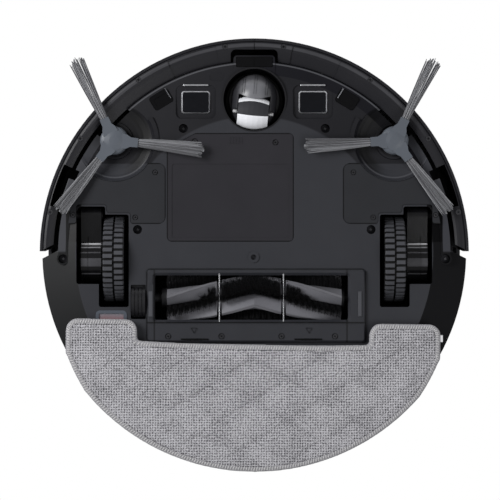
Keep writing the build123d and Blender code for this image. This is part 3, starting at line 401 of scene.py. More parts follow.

# %% [markdown]
# ## The chassis
# The tray is the same moulded plastic, but its ramp in front and its slope at the rear turn away
# from the light, so they are painted darker as shade. The painted shade follows the tray's own
# geometry, by radius and by side. The ledge at each side is painted near black as shade, and a thin
# line along the front lip is painted bright as a highlight. The left slope is also duller, so a
# second shader without much shine is mixed in there. Round each side brush the tray has a dish: its
# floor and inner wall are painted dark as shade, and its rear brink is painted bright as a highlight.

# %% Chassis regions
RAMP_RADIUS = (0.1105, 0.1125)
RAMP_FRONT = (-0.0725, -0.0735)
SLOPE_RADIUS = (0.1458, 0.1464)
LEFT_HALF = (-0.02, 0.02)
RIM_RADIUS = (0.1541, 0.1545)
RIM_REAR_END = (0.0, -0.002)
RIM_FRONT_END = (-0.110, -0.098)
LEDGE_X = (0.1445, 0.1538)
LEDGE_Y = (-0.034, -0.009)
LIP_RADIUS = (0.1549, 0.1556)
LIP_FRONT = (-0.105, -0.115)
EDGE_SOFT = 0.0004
SIDE_HUB_X = 0.1143
SIDE_HUB_Y = -0.0918
HOLLOW_RADIUS = (0.034, 0.022)
HOLLOW_FRONT = (0.012, -0.004)
WALL_RADIUS = (0.0235, 0.0290)
WALL_SOFT = 0.0025
WALL_INNER = (-0.004, -0.020)
BRINK_RADIUS = (0.0299, 0.0305)
BRINK_SOFT = 0.0006
BRINK_REAR = (0.010, 0.022)


def dish_layers(paint, x, y):
    """Painted light and shade of the two dishes, as masks and tones."""
    across = abs(x) - SIDE_HUB_X
    along = y - SIDE_HUB_Y
    from_hub = length(across, along)
    # Painted shade in each dish's floor and inner wall, and a painted highlight on its rear brink.
    hollow_shade = paint.soft_step(from_hub, *HOLLOW_RADIUS) * paint.soft_step(along, *HOLLOW_FRONT)
    wall_shade = paint.band(from_hub, *WALL_RADIUS, WALL_SOFT) * paint.soft_step(across, *WALL_INNER)
    brink_highlight = paint.band(from_hub, *BRINK_RADIUS, BRINK_SOFT) * paint.soft_step(along, *BRINK_REAR)
    return [(hollow_shade * 0.6, tone(10, 10, 11)), (wall_shade * 0.7, tone(9, 9, 10)), (brink_highlight * 0.4, tone(98, 99, 104))]


print("dishes at", SIDE_HUB_X, "m on each side of the middle")

# %% Chassis finish
def chassis_finish():
    """The tray's plastic, with the tone of each region laid over the last, most of them painted shade or
    highlight.
    """
    paint = Paint("chassis_plastic", Specular_IOR_Level=0.25)
    place = paint.place()
    x, y = paint.axes(place)[:2]
    radius = length(x, y)
    patch, fine, mix = mottle(paint, place)
    left_half = paint.soft_step(x, *LEFT_HALF)
    slope = paint.soft_step(radius, *SLOPE_RADIUS)
    ramp = paint.soft_step(radius, *RAMP_RADIUS) * paint.soft_step(y, *RAMP_FRONT)
    rim = paint.soft_step(radius, *RIM_RADIUS) * paint.soft_step(y, *RIM_REAR_END)
    rim = rim * paint.soft_step(y, *RIM_FRONT_END)
    ledge_shade = paint.band(abs(x), *LEDGE_X, EDGE_SOFT) * paint.band(y, *LEDGE_Y, EDGE_SOFT)
    lip_highlight = paint.band(radius, *LIP_RADIUS, EDGE_SOFT) * paint.soft_step(y, *LIP_FRONT)
    # Painted shade on the slope, the ledge, the ramp and in the dishes; painted highlights on the brinks and
    # the lip.
    layers = [
        (slope, paint.blend(left_half, tone(17, 18, 20), tone(23, 23, 25))),
        (rim, tone(62, 63, 68)),
        (ledge_shade, tone(10, 10, 12)),
        (ramp * (1.0 - rim), paint.blend(mix, tone(24, 24, 28), tone(30, 30, 35))),
        *dish_layers(paint, x, y),
        (lip_highlight * 0.45, tone(112, 113, 118)),
    ]
    shade = paint.blend(mix, tone(46, 47, 52), tone(52, 53, 58))
    for mask, over in layers:
        shade = paint.blend(mask, shade, over)
    paint.colour(shade)
    paint.rough(0.44 + patch * 0.12)
    paint.bump(fine, GRAIN, GRAIN_DEPTH)
    dull_sockets = {"Base Color": shade, "Roughness": 0.6, "Specular IOR Level": 0.06}
    dull = paint.node("ShaderNodeBsdfPrincipled", None, dull_sockets)
    paint.mix_shaders(slope * left_half, paint.main_shader(), dull)
    return paint


chassis_paint = chassis_finish()
dress(chassis_paint, "chassis")
print("chassis finish has", len(chassis_paint.tree.nodes), "nodes")

# %% [markdown]
# ## Gear drums
# Each wheel's gearbox ends in a polished black drum with ribs. The ribs catch the lamps from below as
# bright rings, so the finish paints them as bands along the drum, on its low side only.

# %% Gear drum finish
DRUM_LOW_SIDE = (0.045, 0.038)
RING_SOFT = 0.0005
RINGS = (
    (-0.0078, -0.0068, 205),
    (-0.0047, -0.0042, 140),
    (-0.0005, 0.0001, 80),
    (0.0046, 0.0108, 80),
    (0.0169, 0.0173, 62),
)


def drum_finish():
    """Polished black with bright rings painted where the ribs catch the lamps."""
    paint = Paint("drum_black", Specular_IOR_Level=0.5, Coat_Weight=0.6, Coat_Roughness=0.08)
    place = paint.place()
    y, z = paint.axes(place)[1:]
    fine = paint.noise(place, 500.0)
    low_side = paint.soft_step(z, *DRUM_LOW_SIDE)
    shade = paint.blend(fine, tone(14, 14, 16), tone(21, 21, 23))
    for low, high, pale in RINGS:
        # Each ring is a painted highlight.
        ring_highlight = paint.band(y, low, high, RING_SOFT) * low_side
        shade = paint.blend(ring_highlight * (0.8 + fine * 0.2), shade, tone(pale, pale, pale + 4))
    paint.colour(shade)
    paint.rough(0.16 + fine * 0.08)
    return paint


dress(drum_finish(), "left_gearbox", "right_gearbox")
print("drum rings", len(RINGS))

# %% [markdown]
# ## The castor's dome
# The dome over the castor is glossy. Its colour is painted lightest along its middle and darker
# towards both sides as shade, and a belt across it is painted pale as a highlight.

# %% Castor finish
DOME_SIDE = (0.004, 0.0155)
BELT_HIGHLIGHT_Y = (-0.1360, -0.1265)
BELT_HIGHLIGHT_SOFT = 0.007
BELT_HIGHLIGHT_WEIGHT = 0.6


def castor_finish():
    """Gloss with painted shade towards the sides and a painted highlight across it."""
    paint = Paint("castor_plastic", Specular_IOR_Level=0.5)
    place = paint.place()
    x, y = paint.axes(place)[:2]
    fine = paint.noise(place, 700.0)
    # Painted shade towards both sides, and a painted highlight across the dome.
    side = paint.soft_step(abs(x), *DOME_SIDE)
    crown = paint.blend(fine, tone(72, 72, 76), tone(84, 84, 88))
    shade = paint.blend(side, crown, tone(50, 50, 54))
    belt_highlight = paint.band(y, *BELT_HIGHLIGHT_Y, BELT_HIGHLIGHT_SOFT) * (1.0 - side)
    paint.colour(paint.blend(belt_highlight * BELT_HIGHLIGHT_WEIGHT, shade, tone(134, 135, 140)))
    paint.rough(0.3 + fine * 0.06)
    return paint


dress(castor_finish(), "castor_fork")
print("castor belt", round(1000 * (BELT_HIGHLIGHT_Y[1] - BELT_HIGHLIGHT_Y[0]), 1), "mm wide")

# %% [markdown]
# ## Tyres
# The tyres are matt rubber. The distance from the axle tells the lugs from the grooves between them,
# which are painted nearly black as shade.

# %% Tyre finish
GROOVE_DEPTH = (0.0014, 0.0004)
tyre_low, tyre_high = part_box("left_tyre")
axle_y = (tyre_low[1] + tyre_high[1]) / 2
axle_z = (tyre_low[2] + tyre_high[2]) / 2
tyre_radius = (tyre_high[1] - tyre_low[1]) / 2


def tyre_finish():
    """Rubber lugs over grooves painted dark as shade."""
    paint = Paint("tyre_rubber", Specular_IOR_Level=0.3)
    place = paint.place()
    y, z = paint.axes(place)[1:]
    from_axle = length(y - axle_y, z - axle_z)
    fine = paint.noise(place, GRAIN_SCALE, 1.0)
    tread = paint.soft_step(from_axle, *[tyre_radius - depth for depth in GROOVE_DEPTH])
    lugs = paint.blend(fine, tone(64, 65, 70), tone(76, 77, 82))
    # Painted shade: the grooves are near black.
    paint.colour(paint.blend(tread, tone(9, 9, 10), lugs))
    paint.rough(0.66 + fine * 0.1)
    paint.bump(fine, 0.3, GRAIN_DEPTH)
    return paint


dress(tyre_finish(), "left_tyre", "right_tyre")
print("tyre radius", round(tyre_radius * 1000, 1), "mm")

# %% [markdown]
# ## Dust port
# Beside the brush is a small port with a grey frame. A pinkish silicone membrane closes it, greyer
# towards the front, where it lies deeper.

# %% Dust port finish
MEMBRANE_FADE = 0.008
membrane_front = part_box("dust_port_membrane")[0][1]


def membrane_finish():
    """Cloudy silicone, pinker to the rear."""
    paint = Paint("port_silicone", Specular_IOR_Level=0.3)
    place = paint.place()
    y = paint.axes(place)[1]
    cloudy = paint.noise(place, 300.0)
    rear = paint.soft_step(y + cloudy * 0.002, membrane_front, membrane_front + MEMBRANE_FADE)
    paint.colour(paint.blend(rear, tone(122, 119, 127), tone(136, 98, 102)))
    paint.rough(0.55 + cloudy * 0.1)
    paint.bump(cloudy, 0.2, GRAIN_DEPTH)
    return paint


dress(membrane_finish(), "dust_port_membrane")
dress(moulded("port_plastic", tone(80, 85, 94), roughness=0.45), "dust_port_frame")
print("membrane starts at y", round(membrane_front, 4))

# %% [markdown]
# ## Metal
# Screws, wires and springs are metal with a fine, uneven polish. They differ in tone and roughness.

# %% Metal finishes
def metal(name, shade, roughness):
    """Metal with a fine uneven polish."""
    paint = Paint(name, Metallic=1.0)
    place = paint.place()
    fine = paint.noise(place, 1800.0)
    patch = paint.noise(place, 160.0)
    paint.colour(paint.blend(patch, scaled(shade, 0.86), shade))
    paint.rough(roughness + fine * 0.14)
    return paint


dark_steel = metal("dark_steel", tone(104, 104, 108), 0.3)
dress(dark_steel, "bumper_screws", "cover_screws", "guard_screws")
shaded_steel = metal("shaded_steel", tone(58, 58, 62), 0.3)
# The recessed screws are painted darker, as the shade in their recesses.
dress(shaded_steel, "recessed_screws")
bright_steel = metal("bright_steel", tone(205, 206, 210), 0.18)
dress(bright_steel, "guard_wires", "bumper_springs")
dress(bright_steel, "left_suspension_spring", "right_suspension_spring")
dress(metal("pin_steel", tone(250, 250, 252), 0.5), "castor_axle")
print("materials so far", len(bpy.data.materials))

# %% [markdown]
# ## Charging contacts
# Each contact is a polished plate with a bevel. Its colour is a painted reflection: the flat is painted
# nearly black, as it would mirror the dark room straight in front of it, and the bevel is painted
# bright, as it would catch the light. The normal in the piece's own frame tells the two apart.

# %% Contact finish
FLAT_FACING = (0.86, 0.97)


def contact_finish():
    """A painted reflection: a dark flat and a bright bevel."""
    paint = Paint("contact_metal", Metallic=1.0)
    normal = paint.node("ShaderNodeTexCoord", out="Normal")
    facing_down = paint.axes(normal)[2] * -1.0
    flat = paint.soft_step(facing_down, *FLAT_FACING)
    paint.colour(paint.blend(flat, tone(232, 233, 238), tone(52, 53, 58)))
    paint.rough(0.3 + paint.noise(paint.place(), 400.0) * 0.08)
    return paint


dress(contact_finish(), "left_charging_contact", "right_charging_contact")

# %% [markdown]
# ## Inner pieces
# The battery, the board and the filter are hidden until something is opened, and of the brush motor
# only its gearbox shows. They still get their own finish: shrink wrap, solder mask with copper tracks,
# pleated paper, and a black gearbox on a metal motor.

# %% Inner finishes
BOARD_TOP = (0.0597, 0.0598)
MOTOR_END = (-0.0862, -0.0858)


def board_finish():
    """Solder mask with tracks, and dark chips above it."""
    paint = Paint("board_green", Specular_IOR_Level=0.5)
    place = paint.place()
    wave = {"Vector": place, "Scale": 90.0, "Distortion": 6.0, "Detail": 1.0}
    tracks = paint.node("ShaderNodeTexWave", {"bands_direction": "DIAGONAL"}, wave)
    green = paint.blend(paint.soft_step(tracks, 0.62, 0.7), tone(18, 70, 44), tone(34, 96, 62))
    above = paint.soft_step(paint.axes(place)[2], *BOARD_TOP)
    paint.colour(paint.blend(above, green, tone(26, 26, 28)))
    paint.rough(0.35 + tracks * 0.1)
    return paint


def motor_finish():
    """A black gearbox on a metal can."""
    paint = Paint("brush_gear", Specular_IOR_Level=0.4)
    place = paint.place()
    can = paint.soft_step(paint.axes(place)[0], *MOTOR_END)
    paint.colour(paint.blend(can, tone(30, 30, 33), tone(150, 150, 152)))
    paint.feed(paint.shader.inputs["Metallic"], can)
    paint.rough(0.32 + paint.noise(place, 500.0) * 0.12)
    return paint


cell_wrap = moulded("cell_wrap", tone(38, 62, 104), roughness=0.3, specular=0.5, grain=0.02, drift=0.05)
dress(cell_wrap, "battery_pack")
dress(board_finish(), "main_board")
filter_paper = moulded("filter_paper", tone(214, 212, 204), roughness=0.85, specular=0.2,
                       grain=0.3, drift=0.06)
dress(filter_paper, "bin_filter")
dress(motor_finish(), "brush_motor")
print("materials so far", len(bpy.data.materials))

# %% [markdown]
# ## Main brush core
# The roller carries four soft rubber blades in a chevron. They are one CAD piece with the core, so
# the finish uses the distance from the roller's axis: dark core inside, pale rubber outside, and a
# slightly darker edge along the blades' tips.

# %% Main brush core finish
BRUSH_Y = 0.0365
BRUSH_Z = 0.022
BLADE_ROOT = (0.0098, 0.0125)
BLADE_TIP = (0.0184, 0.0196)


def core_finish():
    """A dark core with pale blades."""
    paint = Paint("brush_rubber", Specular_IOR_Level=0.35)
    place = paint.place()
    y, z = paint.axes(place)[1:]
    from_axis = length(y - BRUSH_Y, z - BRUSH_Z)
    blade = paint.soft_step(from_axis, *BLADE_ROOT)
    tip = paint.soft_step(from_axis, *BLADE_TIP)
    fine = paint.noise(place, 1500.0)
    rubber = paint.blend(fine, tone(104, 104, 110), tone(124, 124, 130))
    rubber = paint.blend(tip, rubber, tone(98, 98, 103))
    paint.colour(paint.blend(blade, tone(30, 30, 33), rubber))
    paint.rough(0.5 + fine * 0.15)
    paint.bump(fine, 0.15, GRAIN_DEPTH)
    return paint


dress(core_finish(), "main_brush_core")

# %% [markdown]
# ## Selecting
# New pieces are modelled with the same operators as by hand. An operator acts on all that is
# selected, and the CAD nodes still are, so everything is deselected first.

# %% Selecting
def clear_selection():
    """Object mode with nothing selected."""
    if bpy.context.mode != "OBJECT":
        bpy.ops.object.mode_set(mode="OBJECT")
    bpy.ops.object.select_all(action="DESELECT")


def pick(*pieces):
    """Select these pieces only, the first one active."""
    clear_selection()
    for piece in pieces:
        piece.select_set(True)
    bpy.context.view_layer.objects.active = pieces[0]


def edit_all(piece):
    """Edit mode on one piece, with all of its mesh selected."""
    pick(piece)
    bpy.ops.object.mode_set(mode="EDIT")
    bpy.ops.mesh.select_all(action="SELECT")


def end_edit():
    """Back to object mode."""
    bpy.ops.object.mode_set(mode="OBJECT")


clear_selection()
print("selected", len(bpy.context.selected_objects))

# %% [markdown]
# ## Copying and joining
# What repeats is modelled once and copied, each copy with its own mesh, and the copies are joined. A
# finished piece's object sits at the origin, with its place in its mesh, as a CAD node's does. Then it
# gets one finish and the body that it rides on, so that it moves with the right joint.

# %% Copying and joining
UNMOVED = Matrix.Identity(4)


def rename(piece, name):
    """Name a piece and its mesh."""
    piece.name = name
    piece.data.name = name
    return piece


def apply_place(piece, name):
    """Put a piece's place into its mesh and name it."""
    pick(piece)
    bpy.ops.object.transform_apply(location=True, rotation=True, scale=True)
    return rename(piece, name)


def copy_mesh(piece, matrix):
    """A copy with its own mesh, moved by a matrix."""
    mesh = piece.data.copy()
    mesh.transform(matrix)
    copy = bpy.data.objects.new(piece.name, mesh)
    bpy.context.scene.collection.objects.link(copy)
    return copy


def join(pieces, name):
    """Several pieces as one."""
    pick(*pieces)
    bpy.ops.object.join()
    return rename(bpy.context.view_layer.objects.active, name)


def discard(*pieces):
    """Remove patterns that have been copied."""
    for piece in pieces:
        bpy.data.objects.remove(piece)


def wear(piece, paint):
    """Give a piece one finish all over."""
    piece.data.materials.clear()
    piece.data.materials.append(paint.material)


def finish_piece(piece, paint, body, slot, *stands_for):
    """Give a piece its finish, the body that it rides on, and the node that it replaces."""
    wear(piece, paint)
    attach(piece, body)
    if stands_for:
        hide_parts(*stands_for)
    triangles = sum(len(p.vertices) - 2 for p in piece.data.polygons)
    print(piece.name, "triangles", triangles)


# %% [markdown]
# ## Spring copies
# A coil spring has one end on the body and the other on a piece that moves, so it stretches with the
# joint. Each CAD coil is copied with its own mesh, given bright steel and its place baked in, and the
# CAD node is hidden. The copy is not attached to a body, so it does not stretch with the joint.

# %% Springs
ALONG_Y = 1
ALONG_Z = 2


def stretch_spring(node, axis):
    """A copy of a coil in bright steel, with the length between its ends along an axis printed."""
    low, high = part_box(node)
    fixed_end = (low + high) / 2
    moving_end = fixed_end.copy()
    fixed_end[axis] = high[axis]
    moving_end[axis] = low[axis]
    spring = rename(copy_mesh(nodes[node], UNMOVED), node + "_wire")
    wear(spring, bright_steel)
    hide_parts(node)
    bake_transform(spring)
    print(spring.name, "is", round((fixed_end - moving_end).length * 1000, 1), "mm long at rest")


stretch_spring("bumper_springs", ALONG_Y)
stretch_spring("left_suspension_spring", ALONG_Z)
stretch_spring("right_suspension_spring", ALONG_Z)

# %% [markdown]
# ## One bristle
# A nylon bristle is a thin thread, and three to five flat sides are enough for it. A cylinder gives
# it, and a few cuts along its length let it bend. It is modelled once, one metre long and with a
# radius of one metre, and then scaled, bent and copied. Every copy carries a shade of its own, which
# the finish reads, so that single strands can be told apart.

# %% Bristle
TAPER = 0.35


def model_bristle(sides, cuts):
    """A thread along Z with cuts across its length."""
    clear_selection()
    bpy.ops.mesh.primitive_cylinder_add(vertices=sides, radius=1.0, depth=1.0, location=(0, 0, 0.5))
    thread = apply_place(bpy.context.active_object, "bristle")
    bpy.ops.object.mode_set(mode="EDIT")
    bpy.ops.mesh.select_mode(type="EDGE")
    bpy.ops.mesh.select_all(action="DESELECT")
    end_edit()
    for edge in thread.data.edges:
        bottom, top = [thread.data.vertices[i].co.z for i in edge.vertices]
        edge.select = abs(top - bottom) > 0.5
    bpy.ops.object.mode_set(mode="EDIT")
    bpy.ops.mesh.subdivide(number_cuts=cuts)
    end_edit()
    thread.data.attributes.new("strand_shade", "FLOAT", "POINT")
    return thread


def bend_bristle(pattern, root, tip, sag, thickness, shade=0.5):
    """A copy from root to tip, bowed by sag at its middle, tapering to its tip."""
    copy = copy_mesh(pattern, UNMOVED)
    shades = copy.data.attributes["strand_shade"].data
    shades.foreach_set("value", [shade] * len(shades))
    way = tip - root
    turn = way.to_track_quat("Z", "Y").to_matrix()
    for vertex in copy.data.vertices:
        u = vertex.co.z
        width = thickness * (1.0 - TAPER * u)
        offset = turn @ Vector((vertex.co.x * width, vertex.co.y * width, 0.0))
        vertex.co = root + way * u + sag * (4 * u * (1 - u)) + offset
    return copy


def stray(chance, most):
    """A chance offset to either side."""
    return chance.uniform(-most, most)


bristle = model_bristle(4, 3)
print("bristle faces", len(bristle.data.polygons))

# %% [markdown]
# ## Strand finish
# Nylon strands differ a little in shade, so the finish mixes two tones by the shade that each strand
# carries, with a little fine noise. The side brushes are pale and the main brush is black.

# %% Strand finish
def strand_finish(name, dark, light, specular, scale, own_share, roughness, drift):
    """Nylon between two tones, mostly by each strand's own shade."""
    paint = Paint(name, Specular_IOR_Level=specular)
    fine = paint.noise(paint.place(), scale)
    mix = paint.attribute("strand_shade") * own_share + fine * (1 - own_share)
    paint.colour(paint.blend(mix, dark, light))
    paint.rough(roughness + fine * drift)
    return paint


pale_strands = strand_finish("pale_strands", tone(64, 64, 68), tone(160, 161, 165), specular=0.4,
                             scale=900.0, own_share=0.9, roughness=0.42, drift=0.1)
black_strands = strand_finish("black_strands", tone(9, 9, 10), tone(34, 34, 37), specular=0.35,
                              scale=700.0, own_share=0.8, roughness=0.5, drift=0.12)
print("materials so far", len(bpy.data.materials))

# %% [markdown]
# ## Side brush tufts
# Each side brush has three tufts that splay out from a socket in its arm. Every strand starts in the
# socket, ends near the sweep circle, spreads sideways, and bows a little. Seeded chance gives each
# strand its own length and lean, and neighbours share a streak of shade, as clumped bristles do.
# Inside each tuft a few thick clumps stand for the strands that lie too close to be told apart.

# %% Side brush tufts
SIDE_HUBS = {"right": (-SIDE_HUB_X, SIDE_HUB_Y), "left": (SIDE_HUB_X, SIDE_HUB_Y)}
SIDE_ARMS = {"right": (115.0, -6.3, 232.0), "left": (63.2, 183.8, 307.0)}
TUFT_SEEDS = (11, 12, 13)
STRANDS = 48
CLUMPS = 11
STRAND_RADIUS = 0.00036
CLUMP_RADIUS = 0.00066
SOCKET_R = 0.0165
SOCKET_HALF = 0.0026
SOCKET_Z = 0.0072
TIP_R = 0.0746
TIP_HALF = 0.0052
TIP_Z = 0.0029
SOCKET_DEPTH = 0.0011
TIP_DEPTH = 0.0012
TIP_ROUND = 0.0022
TIP_UNEVEN = 0.0045
TIP_STRAY = (0.0017, 0.0004)
SAG_STRAY = (0.0006, 0.0003)
STREAK = 0.38
STREAK_STRAY = 0.12
STREAK_WAVE = (9.5, 1.3)


def model_tuft(seed):
    """One tuft along +X about the origin of its hub."""
    chance = random.Random(seed)
    strands = []
    for i in range(STRANDS + CLUMPS):
        clump = i < CLUMPS
        across = (2 * i + 1) / CLUMPS - 1 if clump else stray(chance, 1)
        deep = 0.2 if clump else chance.uniform(-1, 0.4)
        root = Vector((SOCKET_R, SOCKET_HALF * across, SOCKET_Z + SOCKET_DEPTH * deep))
        reach = TIP_R - TIP_ROUND * abs(across) - chance.uniform(0, TIP_UNEVEN)
        spread = TIP_HALF * across + stray(chance, TIP_STRAY[0])
        height = TIP_Z + TIP_DEPTH * deep + stray(chance, TIP_STRAY[1])
        sag = Vector((0, *[stray(chance, most) for most in SAG_STRAY]))
        wave = math.sin(STREAK_WAVE[0] * across + STREAK_WAVE[1] * seed)
        streak = 0.5 + STREAK * wave + stray(chance, STREAK_STRAY)
        thick = CLUMP_RADIUS if clump else STRAND_RADIUS
        strands.append(bend_bristle(bristle, root, Vector((reach, spread, height)), sag, thick, streak))
    return join(strands, "tuft")


tufts = [model_tuft(seed) for seed in TUFT_SEEDS]
for side, hub in SIDE_HUBS.items():
    copies = []
    for tuft, angle in zip(tufts, SIDE_ARMS[side]):
        turn = Matrix.Rotation(math.radians(-angle), 4, "Z")
        copies.append(copy_mesh(tuft, Matrix.Translation((*hub, 0)) @ turn))
    side_strands = join(copies, side + "_side_strands")
    node = side + "_brush_bristles"
    finish_piece(side_strands, pale_strands, side + "_side_brush", "bristle_grey", node)
discard(*tufts)

# %% [markdown]
# ## Main brush bundles
# Between the rubber blades run four rows of black bristles, set in small bundles along the same
# chevron. A bundle of strands is modelled three times with different chance.

# %% Main brush bundles
BRUSH_R = 0.0205
ROOT_R = 0.0104
BUNDLE_SEEDS = (21, 22, 23)
BUNDLE_STRANDS = 28
BUNDLE_HALF = (0.0008, 0.0016)
FAN_OUT = 3.0
HAIR_RADIUS = 0.00021
HAIR_STRAY = (0.0009, 0.0012)
HAIR_UNEVEN = 0.0012
HAIR_SAG = 0.0004
short_bristle = model_bristle(3, 1)


def model_bundle(seed):
    """A bundle of strands standing along -Z from the roller's axis."""
    chance = random.Random(seed)
    strands = []
    for i in range(BUNDLE_STRANDS):
        root = Vector((stray(chance, BUNDLE_HALF[0]), stray(chance, BUNDLE_HALF[1]), -ROOT_R))
        tip_x = root.x + stray(chance, HAIR_STRAY[0])
        tip_y = root.y * FAN_OUT + stray(chance, HAIR_STRAY[1])
        tip = Vector((tip_x, tip_y, -BRUSH_R + chance.uniform(0.0, HAIR_UNEVEN)))
        sag = Vector((0, stray(chance, HAIR_SAG), 0))
        strands.append(bend_bristle(short_bristle, root, tip, sag, HAIR_RADIUS, chance.random()))
    return join(strands, "bundle")


bundles = [model_bundle(seed) for seed in BUNDLE_SEEDS]
print("bundle faces", len(bundles[0].data.polygons))

# %% [markdown]
# ## Main brush rows
# Copies of the bundles stand along each row, turned about the roller's axis, with gaps where the
# guard's wires pass. Round the middle of the roller two of the rows widen into an arch that covers
# the blade in front of them.

# %% Main brush rows
BRUSH_HALF = 0.0712
BRUSH_ROWS = 4
BRUSH_TWIST = 68.0
ROW_ANGLE = -25.0
BUNDLE_STEP = 0.00165
WIRE_X = (-0.0285, 0.0238)
WIRE_GAP = 0.0026
ARCH_HALF = 0.052
ARCH_LEAN = 46.0
ARCH_STEP = 11.0


def place_bundle(number, at, turn):
    """A copy of a bundle at a place along the roller, turned about its axis."""
    move = Matrix.Translation((at, BRUSH_Y, BRUSH_Z))
    spin = Matrix.Rotation(math.radians(turn), 4, "X")
    return copy_mesh(bundles[number % len(bundles)], move @ spin)


row_copies = []
arch_copies = []
for row in range(BRUSH_ROWS):
    for i in range(int(2 * BRUSH_HALF / BUNDLE_STEP)):
        at = -BRUSH_HALF + BUNDLE_STEP * (i + 0.5)
        if min(abs(at - wire) for wire in WIRE_X) < WIRE_GAP:
            continue
        turn = row * 360 / BRUSH_ROWS + ROW_ANGLE + BRUSH_TWIST * abs(at) / BRUSH_HALF
        row_copies.append(place_bundle(i + row, at, turn))
        lean = ARCH_LEAN * (1 - (at / ARCH_HALF) ** 2) if row % 2 == 0 else 0.0
        for part in range(1, 1 + int(lean / ARCH_STEP)):
            arch_copies.append(place_bundle(i + part, at, turn - ARCH_STEP * part))
row_strands = join(row_copies, "main_brush_strands")
finish_piece(row_strands, black_strands, "main_brush", "bristle_black", "main_brush_bristles")
arch_strands = join(arch_copies, "main_brush_arch")
finish_piece(arch_strands, black_strands, "main_brush", "bristle_black")
discard(*bundles, short_bristle)

# %% [markdown]
# ## Mop cloth
# The mop is a terry pad about four millimetres thick: crowned, quilted in faint diamonds, and
# overlocked round its edge. A copy of the CAD pad gives the outline. Voxel remeshing turns it into
# an even skin, which is then smoothed. The skin is pressed in along the quilting lines further on.

# %% Mop cloth shape
VOXEL = 0.0013
MERGE = 0.00002

cloth = copy_mesh(nodes["mop_pad"], UNMOVED)
edit_all(cloth)
bpy.ops.mesh.remove_doubles(threshold=MERGE)
end_edit()
outline_piece = copy_mesh(cloth, UNMOVED)
remesh = cloth.modifiers.new("skin", "REMESH")
remesh.mode = "VOXEL"
remesh.voxel_size = VOXEL
pick(cloth)
bpy.ops.object.modifier_apply(modifier="skin")
edit_all(cloth)
bpy.ops.mesh.vertices_smooth(factor=0.5, repeat=3)
end_edit()
print("cloth skin", len(cloth.data.polygons), "faces")

# %% [markdown]
# ## The mop's outline
# Stitches and quilting need the pad's edge as a line of points. Cutting a copy of the pad with a flat
# plane leaves just that line, and walking it from edge to edge puts its points in order.

# %% Mop outline
CUT_HEIGHT = 0.0030
STITCH_STEP = 0.0021


def outline_points(piece, height):
    """Points in order round a piece at a height."""
    edit_all(piece)
    bpy.ops.mesh.bisect(plane_co=(0, 0, height), plane_no=(0, 0, 1), clear_inner=True, clear_outer=True)
    end_edit()
    neighbours = {}
    for edge in piece.data.edges:
        a, b = edge.vertices
        neighbours.setdefault(a, []).append(b)
        neighbours.setdefault(b, []).append(a)
    start = next(iter(neighbours))
    order = [start]
    while True:
        ahead = [n for n in neighbours[order[-1]] if n not in order[-2:]]
        if not ahead or ahead[0] == start:
            break
        order.append(ahead[0])
    return [piece.data.vertices[i].co.copy() for i in order]


def even_points(points, step):
    """The same closed line with points a step apart."""
    closed = points + [points[0]]
    runs = [(closed[i + 1] - closed[i]).length for i in range(len(points))]
    count = int(sum(runs) / step)
    step = sum(runs) / count
    even = []
    i = 0
    gone = 0.0
    for k in range(count):
        while gone + runs[i] < k * step:
            gone += runs[i]
            i += 1
        even.append(closed[i].lerp(closed[i + 1], (k * step - gone) / runs[i]))
    return even


edge_points = even_points(outline_points(outline_piece, CUT_HEIGHT), STITCH_STEP)
discard(outline_piece)
edge_length = sum((edge_points[i] - edge_points[i - 1]).length for i in range(len(edge_points)))
print("mop edge", len(edge_points), "points,", round(edge_length, 3), "m round")

# %% [markdown]
# ## Letting the cloth out
# The rear arc of the cloth hangs a few millimetres over its plate, so its points are drawn outwards,
# and its front edge is drawn in between the two ears. The points of the outline move with it.

# %% Mop cloth let out
LET_OUT = 0.0040
LET_OUT_START = (31.0, 41.0)
LET_OUT_END = (151.0, 141.0)
LET_OUT_RADIUS = (0.145, 0.170)
DRAWN_IN = 0.0018
DRAWN_IN_HALF = 0.098
DRAWN_IN_Y = (0.100, 0.080)


def fade(values, low, high):
    """0 at low and 1 at high, straight between. Low may be the larger number."""
    return np.clip((values - low) / (high - low), 0, 1)


def let_out(points):
    """Points of the pad with its rear arc let out over the plate and its front edge drawn in."""
    radius = np.hypot(points[:, 0], points[:, 1])
    angle = np.degrees(np.arctan2(points[:, 1], points[:, 0]))
    arc = fade(angle, *LET_OUT_START) * fade(angle, *LET_OUT_END)
    outward = LET_OUT * arc * fade(radius, *LET_OUT_RADIUS)
    middle = np.clip(1 - (points[:, 0] / DRAWN_IN_HALF) ** 4, 0, 1) * fade(points[:, 1], *DRAWN_IN_Y)
    moved = points.copy()
    moved[:, :2] *= (1 + outward / radius)[:, None]
    moved[:, 1] += DRAWN_IN * middle
    return moved


edge_points = [Vector(p) for p in let_out(np.array([p[:] for p in edge_points]))]
count = len(cloth.data.vertices)
flat_list = np.zeros(count * 3)
cloth.data.vertices.foreach_get("co", flat_list)
coords = let_out(flat_list.reshape(-1, 3))
print("cloth reaches y", round(coords[:, 1].max(), 4))

# %% [markdown]
# ## Crown, quilting and hem
# Points near the edge stay flat under the stitches. Further in, the pile swells, and it is pressed in
# along two families of diagonal lines. Each point keeps its distance from the edge and its share of
# a quilting line, which the finish reads to paint shade along the lines and under the hem.

# %% Mop cloth form
HEM = 0.0042
HEM_LIFT = 0.0004
PILE_SWELL = 0.0002
PILE_FADE = 0.004
UNDERSIDE = (0.0030, 0.0012)
QUILT = 0.034
QUILT_LEAN = 0.62
PRESS_WIDTH = 0.0016
PRESS_DEPTH = 0.0006
RIPPLE = 0.00008
RIPPLE_X = 95
RIPPLE_Y = 120
RIPPLE_LEAN = 40
CHUNK = 4000


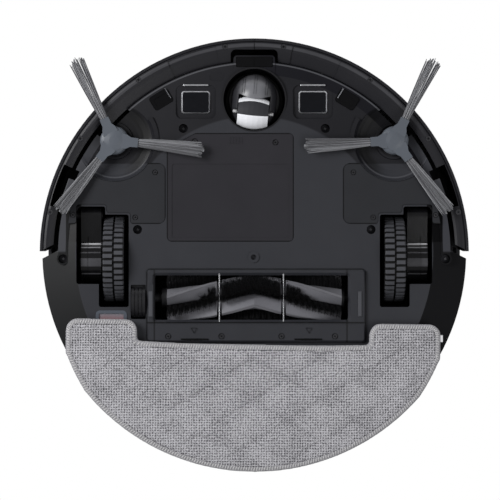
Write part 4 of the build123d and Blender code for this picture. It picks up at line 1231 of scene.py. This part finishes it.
def edge_distances(points):
    """The distance of each point from the outline, a chunk of points at a time."""
    outline = np.array([p[:2] for p in edge_points])
    found = []
    for start in range(0, len(points), CHUNK):
        gaps = points[start:start + CHUNK, None, :2] - outline[None, :, :]
        found.append(np.sqrt((gaps ** 2).sum(2)).min(1))
    return np.concatenate(found)


def quilt_lines(x, y):
    """1 on a quilting line, fading to 0 beside it."""
    lines = []
    for across in (x * QUILT_LEAN + y, x * QUILT_LEAN - y):
        lines.append(np.abs((across / QUILT) % 1.0 - 0.5) * QUILT)
    return np.exp(-(np.minimum(*lines) / PRESS_WIDTH) ** 2)


x, y, z = coords.T
inward = edge_distances(coords)
press = quilt_lines(x, y)
swell = fade(inward, HEM, HEM + PILE_FADE)
ripple = np.sin(x * RIPPLE_X) * np.sin(y * RIPPLE_Y + x * RIPPLE_LEAN)
lift = (1 - swell) * HEM_LIFT + swell * (press * PRESS_DEPTH + ripple * RIPPLE - PILE_SWELL)
coords[:, 2] += fade(z, *UNDERSIDE) * lift
cloth.data.vertices.foreach_set("co", coords.ravel())
cloth.data.attributes.new("edge_distance", "FLOAT", "POINT").data.foreach_set("value", inward)
cloth.data.attributes.new("quilt_line", "FLOAT", "POINT").data.foreach_set("value", press)
cloth.data.update()
pick(cloth)
bpy.ops.object.shade_smooth()
print("cloth lies from", round(z.min() * 1000, 2), "to", round(z.max() * 1000, 2), "mm")

# %% [markdown]
# ## Terry finish
# Terry is thousands of small loops in uneven rows. Two cosines give the rows that the loops stand in,
# bent a little by noise, and painted shade darkens the gaps where rows and columns meet. A cell
# pattern gives painted shade in the gaps between single loops. A broad noise adds the uneven nap,
# partly as painted shade of soft folds, the quilting lines are painted dark as shade, and a row of
# dark dots runs along the inside of the hem. Under the hem the cloth is painted a little darker, as
# shade between the stitches.

# %% Terry finish
LOOP = 0.0017
LOOP_DEPTH = 0.0006
ROWS = 0.0021
FIBRE_SCALE = 1300.0
NAP_SCALE = 48.0
HEM_DOT_SCALE = 900.0
PILE_EDGE = (HEM - 0.0004, HEM + 0.0002)
HEM_DOT_EDGE = (HEM + 0.0012, HEM + 0.0005)


def terry_rows(paint, place):
    """1 in the gaps where rows and columns of loops meet, where shade is painted."""
    x, y = paint.axes(place)[:2]
    bend = paint.noise(place, 150.0) * 3.6
    turns = 2 * math.pi / ROWS
    columns = (x * turns + bend).cosine()
    lines = (y * turns + bend).cosine()
    return (columns * 0.5 + 0.5) * (lines * 0.5 + 0.5)


def terry_finish():
    """Loops with painted shade in their gaps, nap and quilting lines, and dark dots along the hem, as one
    tone.
    """
    paint = Paint("terry_cloth", Specular_IOR_Level=0.1, Sheen_Weight=0.2, Sheen_Roughness=0.5)
    place = paint.place()
    cell_sockets = {"Vector": place, "Scale": 1 / LOOP, "Randomness": 0.9}
    cells = paint.node("ShaderNodeTexVoronoi", {"voronoi_dimensions": "2D"}, cell_sockets, out="Distance")
    gaps = paint.soft_step(cells, 0.15, 0.80)
    rows = terry_rows(paint, place)
    fibre = paint.noise(place, FIBRE_SCALE)
    nap = paint.soft_step(paint.noise(place, NAP_SCALE, 3.0), 0.3, 0.7)
    edge = paint.attribute("edge_distance")
    pile = paint.soft_step(edge, *PILE_EDGE)
    hem_dot_noise = paint.soft_step(paint.noise(place, HEM_DOT_SCALE, 1.0), 0.42, 0.55)
    hem_dots = pile * paint.soft_step(edge, *HEM_DOT_EDGE) * hem_dot_noise
    # Painted shade in the gaps between loops and rows, along the quilting lines and partly in the nap.
    shade = 0.60 - gaps * 0.40 - rows * 0.85 + fibre * 0.60 + nap * 0.20
    shade = shade - paint.attribute("quilt_line") * 0.10 - hem_dots * 0.4
    # Under the hem the cloth is painted darker, as shade between the stitches.
    shade = shade * pile + (0.42 + fibre * 0.3) * (1.0 - pile)
    paint.colour(paint.blend(shade, tone(60, 59, 63), tone(198, 197, 202)))
    paint.rough(0.92 - gaps * 0.05)
    paint.bump(fibre * 0.4 - gaps, 0.7, LOOP_DEPTH)
    return paint


rename(cloth, "mop_cloth")
finish_piece(cloth, terry_finish(), "mop_module", "pad_cloth", "mop_pad")

# %% [markdown]
# ## Overlocked hem
# The edge is bound by slanted thread loops, each one running in from the edge across the hem. One
# stitch is a short bowed thread. A copy of it goes to every point of the outline.

# %% Hem stitches
STITCH_Z = 0.0026
STITCH_START = 0.0007
STITCH_SLANT = 0.0011
STITCH_STRAY = 0.0003
STITCH_DROP = Vector((0, 0, -0.0013))
STITCH_BOW = Vector((0, 0, -0.0009))
THREAD_RADIUS = 0.00068


def thread_finish():
    """Pale matt thread."""
    paint = Paint("hem_thread", Specular_IOR_Level=0.2, Sheen_Weight=0.2)
    fine = paint.noise(paint.place(), 1500.0)
    paint.colour(paint.blend(fine, tone(172, 171, 172), tone(212, 211, 212)))
    paint.rough(0.8 + fine * 0.1)
    return paint


stitch = model_bristle(5, 3)
chance = random.Random(31)
total = len(edge_points)
turning = sum(edge_points[i - 1].x * p.y - p.x * edge_points[i - 1].y for i, p in enumerate(edge_points))
inner_side = 1.0 if turning > 0 else -1.0
stitches = []
for i, point in enumerate(edge_points):
    ahead = edge_points[(i + 2) % total] - edge_points[i - 2]
    along = Vector((ahead.x, ahead.y, 0)).normalized()
    inside = Vector((-along.y, along.x, 0)) * inner_side
    low = Vector((point.x, point.y, STITCH_Z))
    root = low + inside * STITCH_START
    tip = low + inside * (HEM + stray(chance, STITCH_STRAY)) + along * STITCH_SLANT + STITCH_DROP
    stitches.append(bend_bristle(stitch, root, tip, STITCH_BOW, THREAD_RADIUS))
hem = join(stitches, "mop_hem")
pick(hem)
bpy.ops.object.shade_smooth()
finish_piece(hem, thread_finish(), "mop_module", "pad_cloth")
discard(stitch, bristle)

# %% [markdown]
# ## Bright bars
# A few marks are too small for the CAD model. A bright bar lies in front of each charging contact,
# partly the metal's own edge and partly a painted highlight, and a thin duller one along the inner
# end of each side window is a painted reflection on its bevel. Each is a cube with bevelled edges.

# %% Bright bars
BAR_X = 0.0479
BAR_Y = -0.1372
BAR_Z = 0.0122
BAR_SIZE = (0.0205, 0.0013, 0.0010)
EDGE_X = 0.0706
EDGE_Y = -0.1305
EDGE_TURN = 31.6
EDGE_SIZE = (0.0008, 0.0095, 0.0008)


def model_bar(name, centre, size, turn=0.0):
    """A small bar with softened edges, turned about the upright axis of the robot."""
    clear_selection()
    bpy.ops.mesh.primitive_cube_add(size=1.0, location=centre)
    bar = bpy.context.active_object
    bar.scale = size
    apply_place(bar, name)
    bevel = bar.modifiers.new("edges", "BEVEL")
    bevel.width = min(size) * 0.3
    bevel.segments = 2
    bpy.ops.object.modifier_apply(modifier="edges")
    bar.data.transform(Matrix.Rotation(math.radians(turn), 4, "Z"))
    return bar


bars = [model_bar("bar", (x, BAR_Y, BAR_Z), BAR_SIZE) for x in (-BAR_X, BAR_X)]
# The contact bars are partly metal and partly a painted highlight.
trim_metal = metal("trim_metal", tone(220, 221, 226), 0.35)
finish_piece(join(bars, "contact_bars"), trim_metal, "body", "contact_metal")

window_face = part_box("side_cliff_windows")[0][2]
edges = []
for side in (-1, 1):
    edge_bar = model_bar("edge", (0, 0, 0), EDGE_SIZE, EDGE_TURN * side)
    edge_bar.data.transform(Matrix.Translation((side * EDGE_X, EDGE_Y, window_face)))
    edges.append(edge_bar)
# The window edges are a painted reflection.
edge_glint = metal("edge_glint", tone(128, 129, 134), 0.4)
finish_piece(join(edges, "window_edges"), edge_glint, "body", "contact_metal")

# %% [markdown]
# ## Marks on the guard
# The brush guard carries two outlined triangles in front of its latch slots, and a pale strip at each
# end. A ring with only three corners is an outlined triangle.

# %% Guard marks
MARK_X = (-0.0492, 0.0445)
MARK_Y = 0.0626
MARK_RADIUS = 0.0028
MARK_LINE = 0.00026
STRIP_X = (-0.0846, 0.0860)
STRIP_Y = 0.0415
STRIP_SIZE = (0.0030, 0.0205, 0.0006)
STRIP_LIFT = 0.0002
LATCH_X = (-0.0485, 0.0440)
LATCH_Y = 0.0704
LATCH_SIZE = (0.0225, 0.0012, 0.0005)
LATCH_LIFT = 0.0001
guard_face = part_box("brush_guard")[0][2]


def model_mark(x):
    """An outlined triangle that points to the rear."""
    clear_selection()
    bpy.ops.mesh.primitive_torus_add(major_segments=3, minor_segments=6,
                                     major_radius=MARK_RADIUS, minor_radius=MARK_LINE,
                                     location=(x, MARK_Y, guard_face), rotation=(0, 0, math.radians(90)))
    return apply_place(bpy.context.active_object, "mark")


marks = [model_mark(x) for x in MARK_X]
finish_piece(join(marks, "guard_marks"), dark_plastic, "body", "dark_plastic")
strips = [model_bar("strip", (x, STRIP_Y, guard_face + STRIP_LIFT), STRIP_SIZE) for x in STRIP_X]
pad_plastic = moulded("pad_plastic", tone(74, 75, 80))
finish_piece(join(strips, "guard_strips"), pad_plastic, "body", "dark_plastic")
# The latch slots are thin bars painted near black, as the shade inside them.
slot_shade_bars = [model_bar("latch", (x, LATCH_Y, guard_face + LATCH_LIFT), LATCH_SIZE) for x in LATCH_X]
slot_black_shade = moulded("slot_black_shade", tone(8, 8, 9), roughness=0.7, specular=0.1)
finish_piece(join(slot_shade_bars, "guard_slot_shade_bars"), slot_black_shade, "body", "dark_plastic")

# %% [markdown]
# ## Stop pads and tag
# A pad in each slot at the bumper's ends stops its travel, and a white tag is sewn to the mop's edge.

# %% Stop pads and tag
PAD_ANGLES = (-19.5, 199.5)
PAD_CENTRE = (0.1598, 0, 0.0144)
PAD_SIZE = (0.0072, 0.0140, 0.0016)
TAG_CENTRE = (0.1522, 0.0697, 0.0024)
TAG_SIZE = (0.0024, 0.0055, 0.0006)

pads = [model_bar("pad", PAD_CENTRE, PAD_SIZE, angle) for angle in PAD_ANGLES]
finish_piece(join(pads, "bumper_stop_pads"), pad_plastic, "body", "chassis_grey")
tag = model_bar("mop_tag", TAG_CENTRE, TAG_SIZE)
tag_cloth = moulded("tag_cloth", tone(226, 226, 228), roughness=0.85, specular=0.1, grain=0.3, drift=0.04)
finish_piece(tag, tag_cloth, "mop_module", "pad_cloth")

# %% [markdown]
# ## Screw crosses
# Every screw head has a cross for the driver. The screws of one CAD node are taken apart as loose
# pieces to find where each one sits, and a small cross is copied onto each head.

# %% Screw faces
SCREW_MERGE = 0.00001


def screw_faces(node):
    """The middle of the low face of each screw in a node."""
    edit_all(copy_mesh(nodes[node], UNMOVED))
    bpy.ops.mesh.remove_doubles(threshold=SCREW_MERGE)
    bpy.ops.mesh.separate(type="LOOSE")
    end_edit()
    faces = []
    for screw in list(bpy.context.selected_objects):
        corners = [v.co for v in screw.data.vertices]
        low = Vector([min(c[i] for c in corners) for i in range(3)])
        high = Vector([max(c[i] for c in corners) for i in range(3)])
        faces.append(Vector(((low.x + high.x) / 2, (low.y + high.y) / 2, low.z)))
        discard(screw)
    return sorted(faces, key=lambda face: (round(face.x, 4), round(face.y, 4)))


print("guard screws", len(screw_faces("guard_screws")))

# %% Screw crosses
CROSS_SIZE = (0.0021, 0.00055, 0.0003)
QUARTER = math.pi / 2


def model_cross():
    """Two bars across each other."""
    clear_selection()
    cross_bars = []
    for turn in (0, QUARTER):
        bpy.ops.mesh.primitive_cube_add(size=1.0, rotation=(0, 0, turn))
        bar = bpy.context.active_object
        bar.scale = CROSS_SIZE
        cross_bars.append(apply_place(bar, "cross_bar"))
    return join(cross_bars, "cross")


cross = model_cross()
chance = random.Random(41)
cross_highlight = metal("cross_highlight", tone(150, 151, 155), 0.3)
# The crosses are painted dark, as the shade in each driver's recess; on the recessed screws they are pale,
# as a painted highlight.
screw_rows = (
    ("cover_screws", "body", shaded_steel),
    ("guard_screws", "body", shaded_steel),
    ("bumper_screws", "bumper", shaded_steel),
    ("recessed_screws", "body", cross_highlight),
)
for node, body, paint in screw_rows:
    crosses = []
    for face in screw_faces(node):
        turn = Matrix.Rotation(chance.uniform(0, QUARTER), 4, "Z")
        crosses.append(copy_mesh(cross, Matrix.Translation(face) @ turn))
    finish_piece(join(crosses, node[:-1] + "_crosses"), paint, body, "dark_steel")
discard(cross)

# %% [markdown]
# ## Floor
# The floor is a pale plane that shows only from above. Seen from below it lets everything through,
# so that the photograph's view and the soft lamps under the robot reach the underside.

# %% Floor
FLOOR_SIZE = 8.0

clear_selection()
bpy.ops.mesh.primitive_plane_add(size=FLOOR_SIZE, location=(0, 0, 0))
floor = apply_place(bpy.context.active_object, "floor")
floor_paint = Paint("floor", Roughness=0.9)
floor_paint.colour(tone(226, 226, 226))
seen = floor_paint.node("ShaderNodeLightPath", out="Is Camera Ray")
back = floor_paint.node("ShaderNodeNewGeometry", out="Backfacing")
clear = floor_paint.node("ShaderNodeBsdfTransparent")
floor_paint.mix_shaders(seen * (1.0 - back), clear, floor_paint.main_shader())
floor.data.materials.append(floor_paint.material)
print("floor", FLOOR_SIZE, "m wide")

# %% [markdown]
# ## World
# The world is white where it is seen and grey where it lights. What a polished face mirrors depends
# on where it looks: the room is bright round the horizon and dark above and below, which draws bright
# lines along edges and keeps flat faces dark.

# %% World
AMBIENT = 0.3
DARK_ROOM = 0.12
HORIZON = (0.15, 0.5)

world = bpy.data.worlds.new("studio")
bpy.context.scene.world = world
world.use_nodes = True
sky = Board(world.node_tree)
upward = sky.axes(sky.node("ShaderNodeTexCoord", out="Generated"))[2]
steep = sky.soft_step(abs(upward), *HORIZON)
mirrored = 1.0 - (1.0 - DARK_ROOM) * steep
seen = sky.node("ShaderNodeLightPath", out="Is Camera Ray")
through = sky.node("ShaderNodeLightPath", out="Is Transmission Ray")
glossy = sky.node("ShaderNodeLightPath", out="Is Glossy Ray")
level = AMBIENT + (seen + through) * (1.0 - AMBIENT) + glossy * (mirrored - AMBIENT)
background = sky.tree.nodes["Background"]
background.inputs["Color"].default_value = (1, 1, 1, 1)
sky.feed(background.inputs["Strength"], level)
print("world has", len(sky.tree.nodes), "nodes")

# %% [markdown]
# ## Lamps
# Soft square lamps light the underside from two sides, and two more light the top for the views from
# above. A lamp hides itself from the camera, so only its light is seen.

# %% Lamps
UNDERSIDE_MIDDLE = (0, 0, 0.02)
TOP_MIDDLE = (0, 0, 0.05)


def lamp(name, place, target, size, power):
    """A square soft lamp that looks at a point."""
    data = bpy.data.lights.new(name, "AREA")
    data.shape = "SQUARE"
    data.size = size
    data.energy = power
    made = bpy.data.objects.new(name, data)
    made.location = place
    made.rotation_euler = (Vector(target) - Vector(place)).to_track_quat("-Z", "Y").to_euler()
    made.visible_camera = False
    bpy.context.scene.collection.objects.link(made)


lamp("under_key", (-1.2, -0.5, -1.1), UNDERSIDE_MIDDLE, size=0.7, power=22.0)
lamp("under_fill", (0.9, 0.5, -1.4), UNDERSIDE_MIDDLE, size=0.9, power=7.0)
lamp("over_key", (-0.9, -0.9, 1.6), TOP_MIDDLE, size=0.9, power=16.0)
lamp("over_fill", (1.1, 0.5, 1.3), TOP_MIDDLE, size=0.9, power=6.0)
